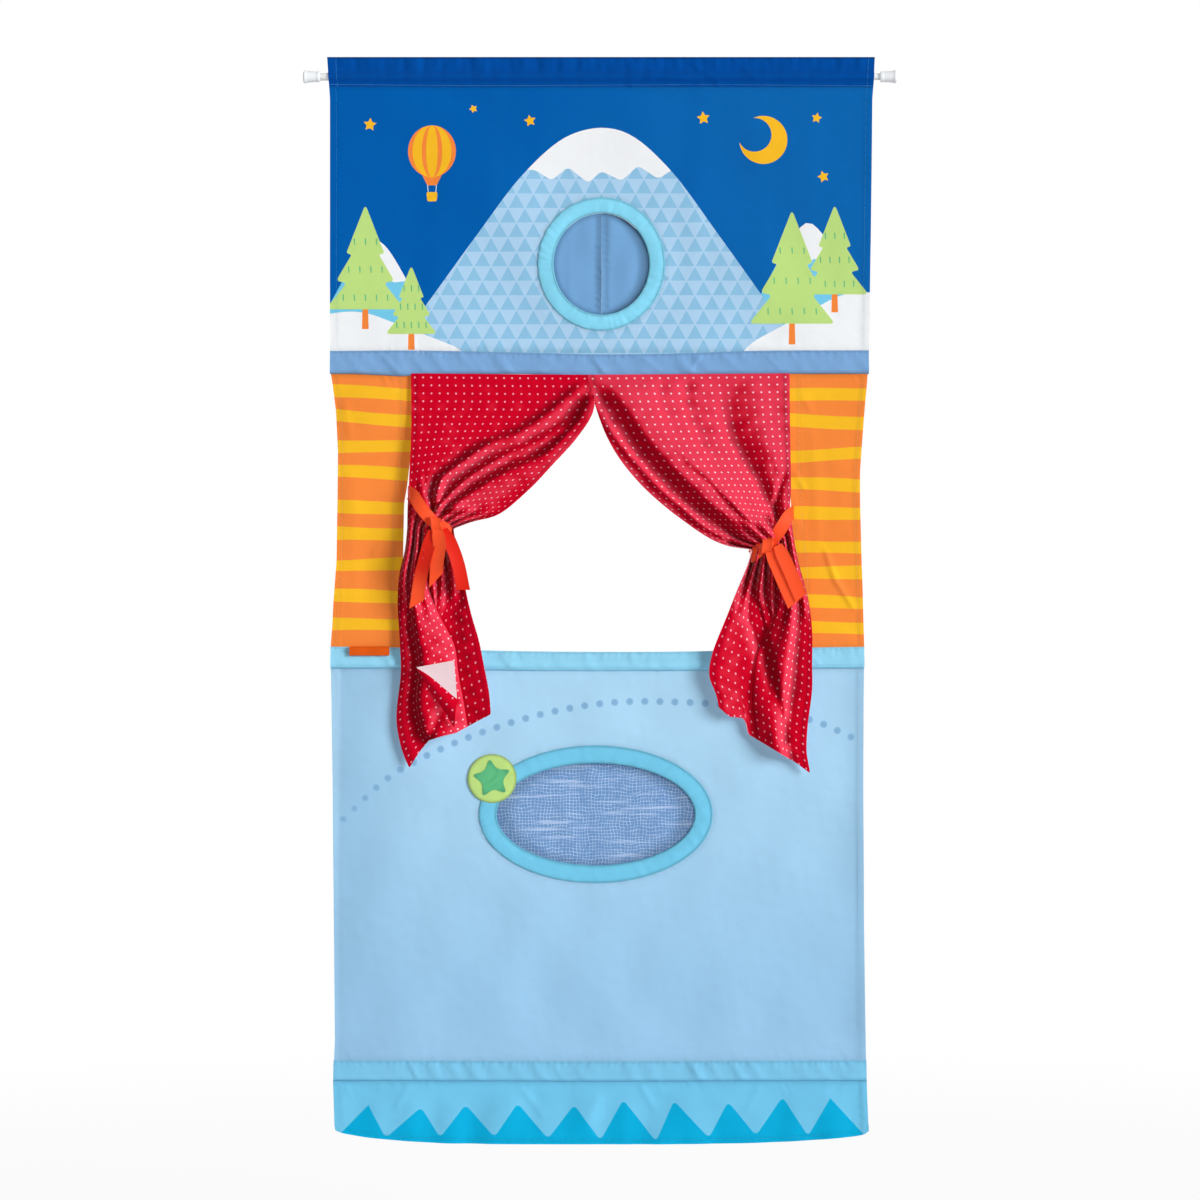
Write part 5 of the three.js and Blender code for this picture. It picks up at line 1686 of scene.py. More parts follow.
# A fold is (its line, heights at its start and end, widths towards the free edge at its start and end, widths
# on its other side), in mm, with a valley's height below zero. A tail is its section under the tie: (share of
# the way from the outer edge to the free one, mm before its back). A foot is the line of its lower hem: (the
# same share, mm above the straight line between its two corners)
CURTAINS = (
    CurtainShape(
        "left", -1, 0.276,
        outer=((411, 373.5), (411.5, 430), (409.5, 480), (408.2, 505), (407.8, 529)),
        free=((592, 375), (594, 409), (578, 437), (551, 467), (529, 490), (500, 514), (473.5, 522),
              (454, 529)),
        tail_outer=((407.8, 529), (405.5, 551), (400, 574), (397.8, 604), (400, 644), (401, 676),
                    (395.5, 716), (400, 745), (410, 768)),
        tail_free=((454, 529), (460, 560), (466, 591), (472, 617), (481, 647), (488, 686), (491, 714)),
        outer_tie=0.240, free_tie=0.349, front=0.0046,
        folds=(
            (((586, 380), (572, 394), (547, 415), (518, 434), (488, 446), (457, 467), (442, 480), (435, 502)),
             (7, 14), (17, 8), (6, 4.5)),
            (((560, 430), (535, 444), (512, 453), (490, 465), (469, 478), (452, 493), (438, 509)),
             (4, 12), (10, 6), (5, 3)),
            (((591, 400), (578, 424), (556, 447), (536, 461), (508, 473), (480, 489), (455, 505)),
             (12, 13), (36, 16), (7, 5)),
            (((442, 513), (463, 515), (490, 517)), (-6, -2), (4, 4), (4, 4)),
            (((434, 478), (433, 492), (434, 508)), (-2, -8), (5, 4), (5, 4)),
            (((420, 468), (423, 492), (428, 512)), (1, 6), (6, 4), (8, 5)),
            (((446, 400), (440, 440), (430, 470)), (0, 3), (40, 20), (30, 12)),
        ),
        tail=(
            (0, 5), (0.07, 7.5), (0.14, 6.5), (0.2, 8), (0.235, 14), (0.265, 23), (0.33, 27), (0.43, 25.5),
            (0.55, 21.5), (0.645, 17), (0.72, 12), (0.69, 7.5), (0.5, 6), (0.35, 4.5), (0.43, 3), (0.66, 3),
            (0.76, 5), (0.88, 9), (1.0, 12),
        ),
        tail_folds=(
            (((416, 560), (413, 590), (411, 620)), (-5, -2), (6, 6), (6, 6)),
            (((452, 700), (440, 716), (430, 738)), (-5, -4), (6, 6), (9, 9)),
        ),
        foot=((0, 0), (0.06, 5.5), (0.15, 15), (0.25, 22), (0.4, 16), (0.58, 6.5), (0.79, 3), (1, 0)),
    ),
    CurtainShape(
        "right", 1, 0.296,
        outer=((789.5, 373.5), (789.8, 430), (790.6, 488), (789.6, 508), (793, 537)),
        free=((587, 375), (595, 405), (606.5, 436), (621, 461), (641, 485), (662, 504.5), (682, 520),
              (706.5, 537), (727, 546), (752, 550)),
        tail_outer=((793, 537), (797.5, 561), (803.5, 582), (809, 604), (811.5, 633), (811, 663), (811, 692),
                    (808, 729), (806.5, 752), (809, 773)),
        tail_free=((752, 550), (745, 570), (731, 604), (719, 633), (711, 658), (709, 676), (715, 694),
                   (718, 707)),
        outer_tie=0.272, free_tie=0.381, front=0.0052,
        folds=(
            (((596, 378), (618, 394), (648, 436), (674, 466), (704, 496), (735, 522), (758, 538)),
             (11, 20), (14, 12), (80, 28)),
            (((592, 390), (600, 412), (613, 434), (627, 452), (642, 469), (658, 487), (680, 506), (703, 526),
              (724, 540)), (4, 7), (6, 6), (5, 5)),
            (((688, 462), (704, 475), (720, 491), (738, 510), (756, 526), (770, 537)),
             (2, 9), (4, 4), (26, 10)),
            (((726, 392), (731, 430), (745, 457), (759, 480), (771, 508)), (-2, -8.5), (15, 9), (17, 9)),
            (((784, 474), (778, 492), (775, 512), (777, 530)), (-2, -8), (5, 4), (5, 4)),
            (((662, 376), (662, 400), (672, 425)), (-2.5, -1.5), (9, 12), (9, 12)),
            (((687, 376), (690, 410), (704, 440)), (-3, -2), (9, 12), (9, 12)),
            (((752, 380), (756, 420), (770, 455)), (2, 4), (24, 14), (42, 22)),
        ),
        tail=(
            (0, 7), (0.07, 6.8), (0.13, 6.2), (0.17, 6.4), (0.21, 9.5), (0.25, 17), (0.3, 23), (0.36, 22),
            (0.44, 17), (0.53, 12.5), (0.58, 9), (0.54, 6.5), (0.38, 5.2), (0.27, 4.4), (0.31, 3.2),
            (0.45, 3.6), (0.6, 4.6), (0.72, 6.5), (0.84, 9.5), (0.93, 11.5), (1.0, 11),
        ),
        tail_folds=(
            (((754, 565), (753, 590), (760, 625), (769, 665), (778, 705), (784, 740)),
             (-12, -6), (18, 12), (5, 7)),
            (((799, 606), (796, 626), (794, 646)), (-4, -2), (8, 8), (5, 5)),
        ),
        foot=((0, 0), (0.13, 2), (0.26, 0), (0.44, -3), (0.57, -5.5), (0.665, -7), (0.695, 9.5), (0.73, 10.5),
              (0.88, -2), (1, 0)),
    ),
)


def fold_heights(x, z, side, folds):
    """Height of a curtain's folds at each point of X and Z."""
    total = np.zeros_like(x)
    places = np.stack((x.ravel(), z.ravel()), axis=1)
    count = 80
    for pixels, heights, free_widths, other_widths in folds:
        line = smooth_path(photo_points(pixels), count)
        tangents = np.gradient(line, axis=0)
        offsets = places[:, None, :] - line[None, :, :]
        away = np.linalg.norm(offsets, axis=2)
        nearest = away.argmin(axis=1)
        offset = offsets[np.arange(len(places)), nearest]
        tangent = tangents[nearest]
        towards_free = -side * (tangent[:, 0] * offset[:, 1] - tangent[:, 1] * offset[:, 0]) > 0
        height, free_width, other_width = (
            (start + (end - start) * nearest / (count - 1)) / 1000
            for start, end in (heights, free_widths, other_widths)
        )
        width = np.where(towards_free, free_width, other_width)
        total += (curtains().fold_scale * height * hump(away.min(axis=1), width)).reshape(x.shape)
    return total


def curtain_grid(shape):
    """The gathered curtain and its flat pattern, as two grids: rows down, columns to the free edge."""
    sizes = curtains()
    columns, above, under = sizes.columns, sizes.drape_rows, sizes.tail_rows
    across = np.linspace(0, 1, columns + 1)
    outer, free = (smooth_path(photo_points(edge), above + 1) for edge in (shape.outer, shape.free))
    tail_outer, tail_free = (
        smooth_path(photo_points(edge), under + 1) for edge in (shape.tail_outer, shape.tail_free)
    )
    hang = shape.outer_tie + (shape.free_tie - shape.outer_tie) * across
    total = sizes.flat_height + (0.5 - across) * 0.03
    wide = abs(float(tail_outer[under // 2, 0] - tail_free[under // 2, 0]))
    section = np.array([(place * wide, depth / 1000) for place, depth in shape.tail])
    section = smooth_path(section, columns + 1)
    tail_share, tail_depth = section[:, 0] / wide, section[:, 1]
    foot_share, foot_rise = np.array(shape.foot).T * np.array(((1,), (0.001,)))
    pleat = 0.5 - 0.5 * np.cos(2 * math.pi * sizes.pleats * across)
    chance = random.Random(7 + len(shape.folds))
    uneven = np.interp(across, np.linspace(0, 1, 9), [chance.uniform(0.7, 1.1) for _ in range(9)])
    shaped, flat = [], []
    for row in range(above + under + 1):
        if row <= above:
            down = row / above
            start, end = outer[row], free[row]
            gather = smoothstep(0.72, 1.0, down) * 0.7
            depth = sizes.bundle_depth * pleat * uneven * gather + 0.009 * smoothstep(0.05, 0.6, down)
            back = np.full_like(across, shape.front)
            share_x = across
            drop = hang * down
        else:
            down = (row - above) / under
            start, end = tail_outer[row - above], tail_free[row - above]
            spread_out = smoothstep(0.0, 0.45, down)
            share_x = across + (tail_share - across) * smoothstep(0.22, 0.62, down)
            waist = 0.7 + 0.6 * smoothstep(0.0, 0.14, down)
            bundle = sizes.bundle_depth * pleat * uneven * waist + 0.009
            depth = bundle + (tail_depth * (0.75 + 0.25 * down) - bundle) * spread_out
            height = start[1] + (end[1] - start[1]) * share_x
            over_sill = hump(height + 0.872, 0.055)
            back = shape.front + 0.0005 + 0.0055 * over_sill
            drop = hang + (total - hang) * down
        x = start[0] + (end[0] - start[0]) * share_x
        z = start[1] + (end[1] - start[1]) * share_x
        if row > above:
            z = z + np.interp(share_x, foot_share, foot_rise) * down ** 7
            x = x + 0.002 * soft_noise(x, z, 0.12, 140) * down
        y = -(back + depth + 0.0005 * soft_noise(x, z, 0.03, 141) * smoothstep(0, 0.1, row / above))
        shaped.append(np.column_stack((x, y, z)))
        flat_x = photo_x(shape.outer[0][0]) - shape.side * across * shape.flat_width
        flat.append(np.column_stack((flat_x, -back, photo_z(shape.outer[0][1]) - drop)))
    shaped = np.array(shaped)
    drape = shaped[:above + 1]
    downs = np.linspace(0, 1, above + 1)[:, None]
    fade = smoothstep(0, 0.09, downs) * smoothstep(1.0, 0.9, downs)
    drape[:, :, 1] -= fade * fold_heights(drape[:, :, 0], drape[:, :, 2], shape.side, shape.folds)
    drape[:, :, 1] -= np.maximum(0, drape[:, :, 1] + shape.front * 0.8)
    loose = shaped[above + 1:]
    tail_ridges = fold_heights(loose[:, :, 0], loose[:, :, 2], shape.side, shape.tail_folds)
    tops = np.maximum(loose[:, :, 1], -shape.front - 0.0025)
    loose[:, :, 1] = np.minimum(loose[:, :, 1] - tail_ridges, tops)
    return shaped, np.array(flat)


def bend_at_tie(piece, word):
    """Take a piece off its body and keep where it stands in its mesh."""
    tie = photo_z(next(shape.outer[-1][1] for shape in CURTAINS if shape.word == word))
    piece.parent = None
    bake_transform(piece)


def shape_depth_at(name, place):
    """The front of a piece at a place in X and Z, as its least Y near there."""
    mesh = bpy.data.objects[name].data
    points = np.zeros(len(mesh.vertices) * 3)
    mesh.vertices.foreach_get("co", points)
    points = points.reshape(-1, 3)
    near = np.hypot(points[:, 0] - place[0], points[:, 2] - place[1]) < 0.028
    return float(points[near, 1].min())


def dotted_ground(tree, where):
    """The curtains' dotted print, which follows the cloth's pattern, with a painted sheen: redder and paler
    dots where the folds lean towards the key light.
    """
    sizes, tones = curtains(), colours()
    dots = placed(tree, printed_dots,
                  {"Vector": where, "Pitch": sizes.dot_pitch, "Diameter": sizes.dot_diameter})
    bloom = painted(tree, "bloom")
    satin = mixed(tree, bloom, solid(tones.curtain), solid(tones.curtain_bloom))
    spot = mixed(tree, bloom, solid(tones.curtain_dot), solid(tones.curtain_dot_lit))
    return mixed(tree, dots["Mask"], satin, spot)


class THEATRE_OT_curtains(bpy.types.Operator):
    """Build the two gathered curtains, each one cloth from its seam to its tail"""

    bl_idname = "theatre.curtains"
    bl_label = "Curtains"

    def execute(self, context):
        tones = colours()
        front = cloth_material("red_cloth", tones.curtain, pattern_place, printed=dotted_ground,
                               seam_shade=0.5, polish=0.03)
        lining = cloth_material("red_cloth_lining", tones.lining, pattern_place)
        for shape in CURTAINS:
            self.curtain(shape, [front, lining])
        return {"FINISHED"}

    def curtain(self, shape, materials):
        sizes = curtains()
        shaped, flat = curtain_grid(shape)
        uvs = np.column_stack((np.abs(flat[:, :, 0] - flat[0, 0, 0]).ravel(),
                               (flat[0, 0, 2] - flat[:, :, 2]).ravel()))
        across = np.linspace(0, 1, sizes.columns + 1)
        edge = np.minimum(across, 1 - across) * shape.flat_width
        hems = np.tile(hump(edge - 0.008, 0.003), (len(shaped), 1))
        depth = -shaped[:, :, 1]
        reach = 7
        padded = np.pad(depth, ((0, 0), (reach, reach)), mode="edge")
        shifts = range(2 * reach + 1)
        mean = sum(padded[:, shift:shift + depth.shape[1]] for shift in shifts) / len(shifts)
        facing = np.cross(np.gradient(shaped, axis=1), np.gradient(shaped, axis=0))
        facing *= -np.sign(facing[:, :, 1:2]) / (np.linalg.norm(facing, axis=2)[:, :, None] + 1e-12)
        # Painted shade: faces turned away from the key light and the valleys of the folds go into the seam
        # mask, which darkens them, a little less over the right drape.
        painted_shade_turned_away = smoothstep(0.08, 0.5, -facing[:, :, 0])
        painted_shade_turned_away[:sizes.drape_rows] *= 1 - 0.3 * (shape.side > 0)
        painted_valley_shade = smoothstep(0.0003, 0.004, mean - depth)
        seam = np.maximum(0.6 * hems, np.maximum(painted_valley_shade, painted_shade_turned_away)).ravel()
        piece = loft(shape.word + "_curtain_cloth", shaped, materials, seam, uvs=uvs, turned=shape.side > 0)
        # Painted highlight: the sheen mask grows where faces lean towards the key light, and more over the
        # right drape.
        painted_sheen_lean = facing[:, :, 0] - 0.05
        painted_sheen_lean[:sizes.drape_rows] += 0.05 + 0.30 * (shape.side > 0)
        paint(piece.data, "bloom", smoothstep(0.0, 0.42, painted_sheen_lean).ravel())
        soften(piece)
        thicken(piece, sizes.thickness)
        finish_piece(piece, "banner", "red_cloth", shape.word + "_curtain", shape.word + "_curtain_tail")
        more = [self.turned_corner(materials)] if shape.side < 0 else []
        bend_at_tie(piece, shape.word)

    def turned_corner(self, materials):
        """The left tail's corner, rolled up so that its pale reverse shows."""
        tip, head, middle, foot = photo_points(((417, 667), (455, 660), (458, 697), (455, 727)))
        base = shape_depth_at("left_curtain_cloth", (tip + head + middle) / 3)
        clear = 0.003
        rings, uvs = [], []
        for along in np.linspace(0.03, 1, 28):
            low, fold, high = (tip + (corner - tip) * along for corner in (foot, middle, head))
            roll = 0.0085 * along ** 0.8
            sag = 0.002 * math.sin(along * math.pi * 1.5)
            line = []
            for step in np.linspace(0, 1, 9):
                place = low + (fold - low) * step
                swell = math.sin(math.pi * min(1, step * 1.05)) ** 0.8
                y = base + 0.004 - (0.004 + clear) * step - roll * swell
                line.append((place[0], y, place[1] + sag * step))
            for step in np.linspace(0.04, 1, 8):
                place = fold + (high - fold) * step
                dip = 0.0012 * math.sin(math.pi * step) * along
                line.append((place[0], base - clear + dip + 0.0006 * step, place[1] + sag * (1 - step)))
            rings.append(line)
            uvs += [(point[0] * 0.7 + point[2] * 0.7, point[2] * 0.7 - point[0] * 0.7) for point in line]
        piece = loft("left_tail_corner", rings, materials, uvs=uvs, turned=True)
        kinds = np.tile([0] * 8 + [1] * 8, len(rings) - 1)
        piece.data.polygons.foreach_set("material_index", kinds.astype(np.int32))
        thicken(piece, 0.0006, reverse=False)
        return finish_piece(piece, "left_tail", "red_cloth")


# Ribbons
def ribbon(name, path, across, width, material, thickness=0.0007, cup=0.0, slant=0.0, steps=28, sides=6,
           turned=None):
    """A ribbon along a path, its width along one direction, cupped a little, its end cut at a slant.

    Where it is turned, it shows its other face, as a function of the way along gives it."""
    line = smooth_path(path, steps + 1)
    tangents = np.gradient(line, axis=0)
    tangents /= np.linalg.norm(tangents, axis=1)[:, None]
    run = way_along(line)[-1]
    rings, uvs, seam = [], [], []
    for step, (point, tangent) in enumerate(zip(line, tangents)):
        direction = np.array(across(step / steps) if callable(across) else across, float)
        direction -= tangent * direction.dot(tangent)
        direction /= np.linalg.norm(direction)
        normal = np.cross(tangent, direction)
        wide = width(step / steps) if callable(width) else width
        ring = []
        for side in np.linspace(-0.5, 0.5, sides + 1):
            bend = cup * (4 * side * side - 1)
            cut = slant * side * smoothstep(0.8, 1.0, step / steps)
            ring.append(point + direction * wide * side + normal * bend + tangent * cut)
            uvs.append((side * wide, run * step / steps))
            seam.append(max(0.0, 1 - (0.5 - abs(side)) * 8) * 0.4)
        rings.append(ring)
    piece = loft(name, rings, [material], seam, uvs=uvs)
    if turned:
        shares = [turned(step / steps) for step in range(steps + 1)]
        paint(piece.data, "turned", np.repeat(shares, sides + 1))
    return thicken(piece, thickness, reverse=False)


class THEATRE_OT_ties(bpy.types.Operator):
    """Build the ribbons: strap, knot and loose ends of each curtain's tie"""

    bl_idname = "theatre.ties"
    bl_label = "Tie ribbons"

    def execute(self, context):
        tones = colours()
        material = satin_material("orange_ribbon", tones.ribbon, tones.ribbon_reverse)
        reverse = satin_material("orange_ribbon_reverse", tones.ribbon_reverse)
        self.tie("left", -1, (437, 525), (410, 495), (451, 533), material)
        self.ends("left", (material, reverse), (
            ("outer", ((434, 531), (427, 555), (421, 580), (417.5, 604.5)), 0.0012, -0.008),
            ("middle", ((438, 528), (440.5, 545), (438, 563), (437, 580.5)), 0.0030, -0.012),
            ("inner", ((444, 530), (452, 545), (459, 565), (464, 590)), -0.0016, 0.002),
        ))
        self.tie("right", 1, (766, 546), (792, 515), (752, 556), material)
        self.ends("right", (material, reverse), (
            ("inner", ((768, 549), (774, 562), (783, 583), (792.5, 604.5)), 0.0, -0.0026),
            ("outer", ((776.5, 545.5), (783, 558.5), (791.5, 577.5), (800, 598)), 0.0012, -0.0026),
        ))
        return {"FINISHED"}

    def tie(self, word, side, knot, outer, inner, material):
        """The strap from the knot round the bundle and back, and the knot itself."""
        low, high = node_box(word + "_tie_strap")
        front, back = low[1] + 0.0004, high[1] - 0.0004
        (knot_x, knot_z), (outer_x, outer_z), (inner_x, inner_z) = photo_points((knot, outer, inner))
        away = 0.005 * side
        path = (
            (knot_x + away, front, knot_z + 0.004),
            ((knot_x + outer_x) / 2, front - 0.001, (knot_z + outer_z) / 2),
            (outer_x - away, front * 0.8, outer_z), (outer_x + side * 0.001, front * 0.35, outer_z + 0.002),
            (outer_x, back, outer_z + 0.002), ((outer_x + inner_x) / 2, back, (outer_z + inner_z) / 2),
            (inner_x, back * 0.5, inner_z), (inner_x - side * 0.002, front * 0.5, inner_z),
            (inner_x + side * 0.001, front * 0.9, inner_z + 0.001), (knot_x - away, front, knot_z - 0.001),
        )
        strap = ribbon(word + "_tie_strap_ribbon", path, (0, 0.1, 1), 0.019, material, cup=0.0004, steps=70)
        finish_piece(strap, "banner", "orange_ribbon", word + "_tie_strap")
        self.knot(word, side, knot_x, knot_z, material)

    def knot(self, word, side, x, z, material):
        """A soft core with the ribbon drawn over it from behind."""
        middle_y, deep = middle_of(word + "_tie_knot")[1], half_of(word + "_tie_knot")[1]
        rings, seam, uvs = [], [], []
        around = 40
        turns = np.linspace(0, 2 * math.pi, around, endpoint=False)
        for place in np.linspace(-1, 1, 15):
            swell = math.sqrt(max(0.0, 1 - abs(place) ** 3.2)) * 0.96 + 0.04
            grooves = 1 + 0.05 * np.cos(3 * turns + place * 3)
            wide = 0.0105 * place
            rings.append(np.column_stack((
                np.full(around, x + wide),
                middle_y + deep * 0.72 * swell * np.cos(turns) * grooves,
                z + wide * 0.35 * side + 0.0085 * swell * np.sin(turns) * grooves,
            )))
            seam.append(np.full(around, 0.6 * abs(place) ** 4))
            uvs.append(np.column_stack((turns * 0.01, np.full(around, wide))))
        core = loft(word + "_tie_knot_core", rings, [material], np.concatenate(seam), closed=True,
                    uvs=np.concatenate(uvs))
        finish_piece(close_up(core, fill=True), "banner", "orange_ribbon", word + "_tie_knot")
        turns = np.linspace(-2.6, 2.5, 30)
        path = np.column_stack((
            x - 0.0008 * side * turns, middle_y - deep * 0.9 * np.cos(turns * 0.98),
            z - 0.0108 * np.sin(turns * 0.98),
        ))
        width = lambda along: 0.0175 - 0.0035 * math.sin(math.pi * along) ** 2
        wrap = ribbon(word + "_tie_knot_wrap", path, (1, 0, 0.18 * side), width, material, cup=0.0009,
                      steps=60)
        finish_piece(wrap, "banner", "orange_ribbon")

    def ends(self, word, materials, paths):
        for name, pixels, lift, slant in paths:
            material = materials[1 if name == "inner" and word == "left" else 0]
            turned = (lambda along: float(smoothstep(0.85, 0.45, along))) if name == "outer" else None
            node_name = word + "_tie_end_" + name
            points = photo_points(pixels)
            down = np.linspace(0, 1, len(points))
            depth = middle_of(node_name)[1] - lift - 0.002 * np.sin(down * math.pi) + 0.003 * down
            path = np.column_stack((points[:, 0], depth, points[:, 1]))
            width = lambda along: 0.0200 * (0.7 + 0.3 * float(smoothstep(0, 0.2, along)))
            side = 1 if points[-1, 0] > points[0, 0] else -1
            twist = 0.25 if word == "left" else 0.05
            across = lambda along: (1.0, twist * side * math.sin(along * 3), 0)
            piece = ribbon(node_name + "_ribbon", path, across, width, material, cup=0.0008, slant=slant * 2,
                           turned=turned if word == "left" else None)
            finish_piece(piece, word + "_tail", "orange_ribbon", node_name)
            bend_at_tie(piece, word)


# Lower panel
DOT_SPACING = 15.25 * METRES_PER_PIXEL
ARC_OF_DOTS = (
    (343.5, 819), (388, 778), (438.6, 750), (494.5, 728), (553, 711.6), (614, 702.4), (675, 702),
    (740, 706.5), (810.6, 720), (851, 737),
)


class THEATRE_OT_lower_panel(bpy.types.Operator):
    """Build the lower panel with its dotted arc and the hole for the oval window"""

    bl_idname = "theatre.lower_panel"
    bl_label = "Lower panel"

    def execute(self, context):
        tones = colours()
        low, high = node_box("lower_panel")
        tuck = cloth().seam_tuck
        window = window_oval("oval_window_ring", 0.024)
        heights = np.linspace(high[2], low[2], 90)
        left, right = side_rows(heights)
        foot_x = np.linspace(left[-1, 0], right[-1, 0], 80)
        top_x = np.linspace(right[0, 0], left[0, 0], 80)
        foot = np.column_stack((foot_x, band_line("base", "top", foot_x) - tuck))
        top = np.column_stack((top_x, band_line("sill", "foot", top_x) + 0.0018))
        outline = np.vstack((left[1:-1], foot, right[-2:0:-1], top))
        relief = lower_relief()

        # Painted shade: the panel darkens towards its foot and towards both side edges, less so on the left
        # hem.
        def graded(tree, where):
            place = parts(tree, where)
            left_x, right_x = float(low[0]), float(high[0])
            down = spread(tree, place[2], float(low[2]), float(high[2]), 1.0, 0.0)
            left_painted_shade = spread(tree, place[0], left_x, left_x + 0.16, 0.7, 0.0)
            beside_hem = spread(tree, place[0], left_x + 0.006, left_x + 0.014, 0.2, 1.0)
            left_painted_shade = times(tree, left_painted_shade, beside_hem)
            right_painted_shade = spread(tree, place[0], right_x - 0.05, right_x, 0.0, 0.5)
            sides = maths(tree, "MAXIMUM", left_painted_shade, right_painted_shade)
            ground = mixed(tree, down, solid(tones.panel), solid(tones.panel_low))
            return mixed(tree, sides, ground, solid(tones.panel_low, 0.86))

        materials = [
            cloth_material("pale_blue_cloth", tones.panel, printed=graded),
            cloth_material("pale_blue_cloth_dot", tones.dot),
            cloth_material("pale_blue_cloth_dot_core", [part * 0.86 for part in tones.dot]),
            reverse_of("pale_blue_cloth", tones.panel),
        ]
        arc = smooth_path(photo_points(ARC_OF_DOTS), 400)
        count = round(way_along(arc)[-1] / DOT_SPACING) + 1
        prints = []
        for x, z in smooth_path(arc, count):
            prints.append((1, oval(x, z, 0.0056, 0.0056, 20)))
            prints.append((2, oval(x, z, 0.0038, 0.0038, 16)))
        holes = [oval(*window, 110)]
        piece = cut_sheet("lower_panel_cloth", outline, relief, materials, prints, holes, step=0.0055)
        finish_piece(piece, "banner", "pale_blue_cloth", "lower_panel")
        stitches = add_stitches("lower_panel_stitches", side_rows(heights, cloth().hem_width),
                                front_of(relief), (0.24, 0.47, 0.7), "pale_blue_cloth")
        return {"FINISHED"}


class THEATRE_OT_oval_window(bpy.types.Operator):
    """Build the oval window's ring and the printed cloth behind it"""

    bl_idname = "theatre.oval_window"
    bl_label = "Oval window"

    def execute(self, context):
        tones = colours()
        cyan = cloth_material("window_cyan_cloth", tones.cyan, seam_shade=0.3, mottle=0.16)
        ring_piece("oval_window", 0.027, cyan, lower_relief(), 75, 0.02)
        middle_y = middle_of("oval_window_cloth")[1]
        middle_x, middle_z, radius_x, radius_z = window_oval("oval_window_cloth")
        outline = oval(middle_x, middle_z, radius_x, radius_z, 110)

        def printed(tree, where):
            pattern = placed(tree, wobbly_lines, {"Vector": where, "Pitch": 0.0048, "Line": 0.17})
            ground = mixed(tree, pattern["Patches"], solid(tones.pond), solid(tones.pond_patch))
            return mixed(tree, pattern["Lines"], ground, solid(tones.pond_line))

        def relief(x, z):
            rim = np.hypot((x - middle_x) / radius_x, (z - middle_z) / radius_z)
            y = middle_y + (1 - smoothstep(0.75, 0.95, rim)) * 0.0018 + 0.0008 * soft_noise(x, z, 0.07, 77)
            # Painted shade: the cloth darkens towards its rim, where it lies back under the ring.
            return y, smoothstep(0.70, 0.85, rim)

        materials = [
            cloth_material("pond_blue_cloth", tones.pond, printed=printed, seam_shade=0.3),
            reverse_of("pond_blue_cloth", tones.pond),
        ]
        piece = cut_sheet("pond_cloth", outline, relief, materials)
        finish_piece(piece, "banner", "pond_blue_cloth", "oval_window_cloth")
        return {"FINISHED"}


class THEATRE_OT_badge(bpy.types.Operator):
    """Build the applique badge: a lime disc with a green star"""

    bl_idname = "theatre.badge"
    bl_label = "Star badge"

    def execute(self, context):
        tones = colours()
        x, z, radius, _ = window_oval("badge_disc")
        disc_y, star_y = (middle_of(name)[1] for name in ("badge_disc", "badge_star"))
        panel = lower_relief()

        def disc_relief(px, pz):
            away = radius - np.hypot(px - x, pz - z)
            edge = hump(away - 0.003, 0.0012)
            y = disc_y - 0.0004 * smoothstep(0, 0.012, away) + 0.00035 * edge
            y = y + 0.0002 * soft_noise(px, pz, 0.025, 121) + 0.0006 * smoothstep(0.0015, 0, away)
            return y + panel(px, pz)[0], hump(away, 0.002)

        lime = cloth_material("lime_cloth", tones.lime, seam_shade=0.5)
        disc = oval(x, z, radius, radius, 96)
        disc = cut_sheet("badge_disc_cloth", disc, disc_relief, [lime, lime], step=0.0022)
        finish_piece(disc, "banner", "lime_cloth", "badge_disc")
        reach = window_oval("badge_star")[3] * 1.28
        outline = star_outline(x, z, reach, 5, 0.5, math.radians(8), 0.0075)

        def star_relief(px, pz):
            away = np.hypot(px - x, pz - z) / reach
            y = star_y - 0.0002 * (1 - away) + 0.0001 * soft_noise(px, pz, 0.02, 122)
            return y + panel(px, pz)[0], smoothstep(0.5, 1.0, away)

        green = cloth_material("green_cloth", tones.leaf, seam_shade=0.3)
        thin = 0.0006
        star = cut_sheet("badge_star_cloth", outline, star_relief, [green, green], step=0.002, thickness=thin)
        finish_piece(star, "banner", "green_cloth", "badge_star")
        ring = oval(x, z, radius - 0.003, radius - 0.003, 120)
        add_stitches("badge_stitches", [looped(ring)], front_of(disc_relief),
                     [part * 0.6 for part in tones.lime], "lime_cloth")
        row = (outline - (x, z)) * 0.92 + (x, z)
        add_stitches("badge_star_stitches", [looped(row)], front_of(star_relief, thin),
                     [part * 0.6 for part in tones.leaf], "green_cloth")
        return {"FINISHED"}


# Valance
ZIGZAG = (
    (333, 1141), (366.4, 1101), (385.7, 1138), (421, 1107), (440, 1137.5), (465.5, 1104.5), (494.5, 1137),
    (517.5, 1103), (548, 1138.8), (574.3, 1104.5), (600.5, 1140.7), (623.2, 1099.5), (656, 1141.5),
    (674, 1100.5), (709, 1138), (728, 1101.5), (756, 1135.5), (782.6, 1096.8), (808, 1136), (832.6, 1094),
    (868, 1139),
)
VALANCE_FOOT = (
    (334.5, 1126), (335, 1130), (342, 1133), (352, 1135), (372, 1138), (415, 1141.6), (464, 1143.6),
    (590, 1144.4), (720, 1143.6), (779, 1141.8), (816, 1139.6), (837, 1137.8), (858, 1135.6), (868, 1132),
    (868.6, 1126),
)


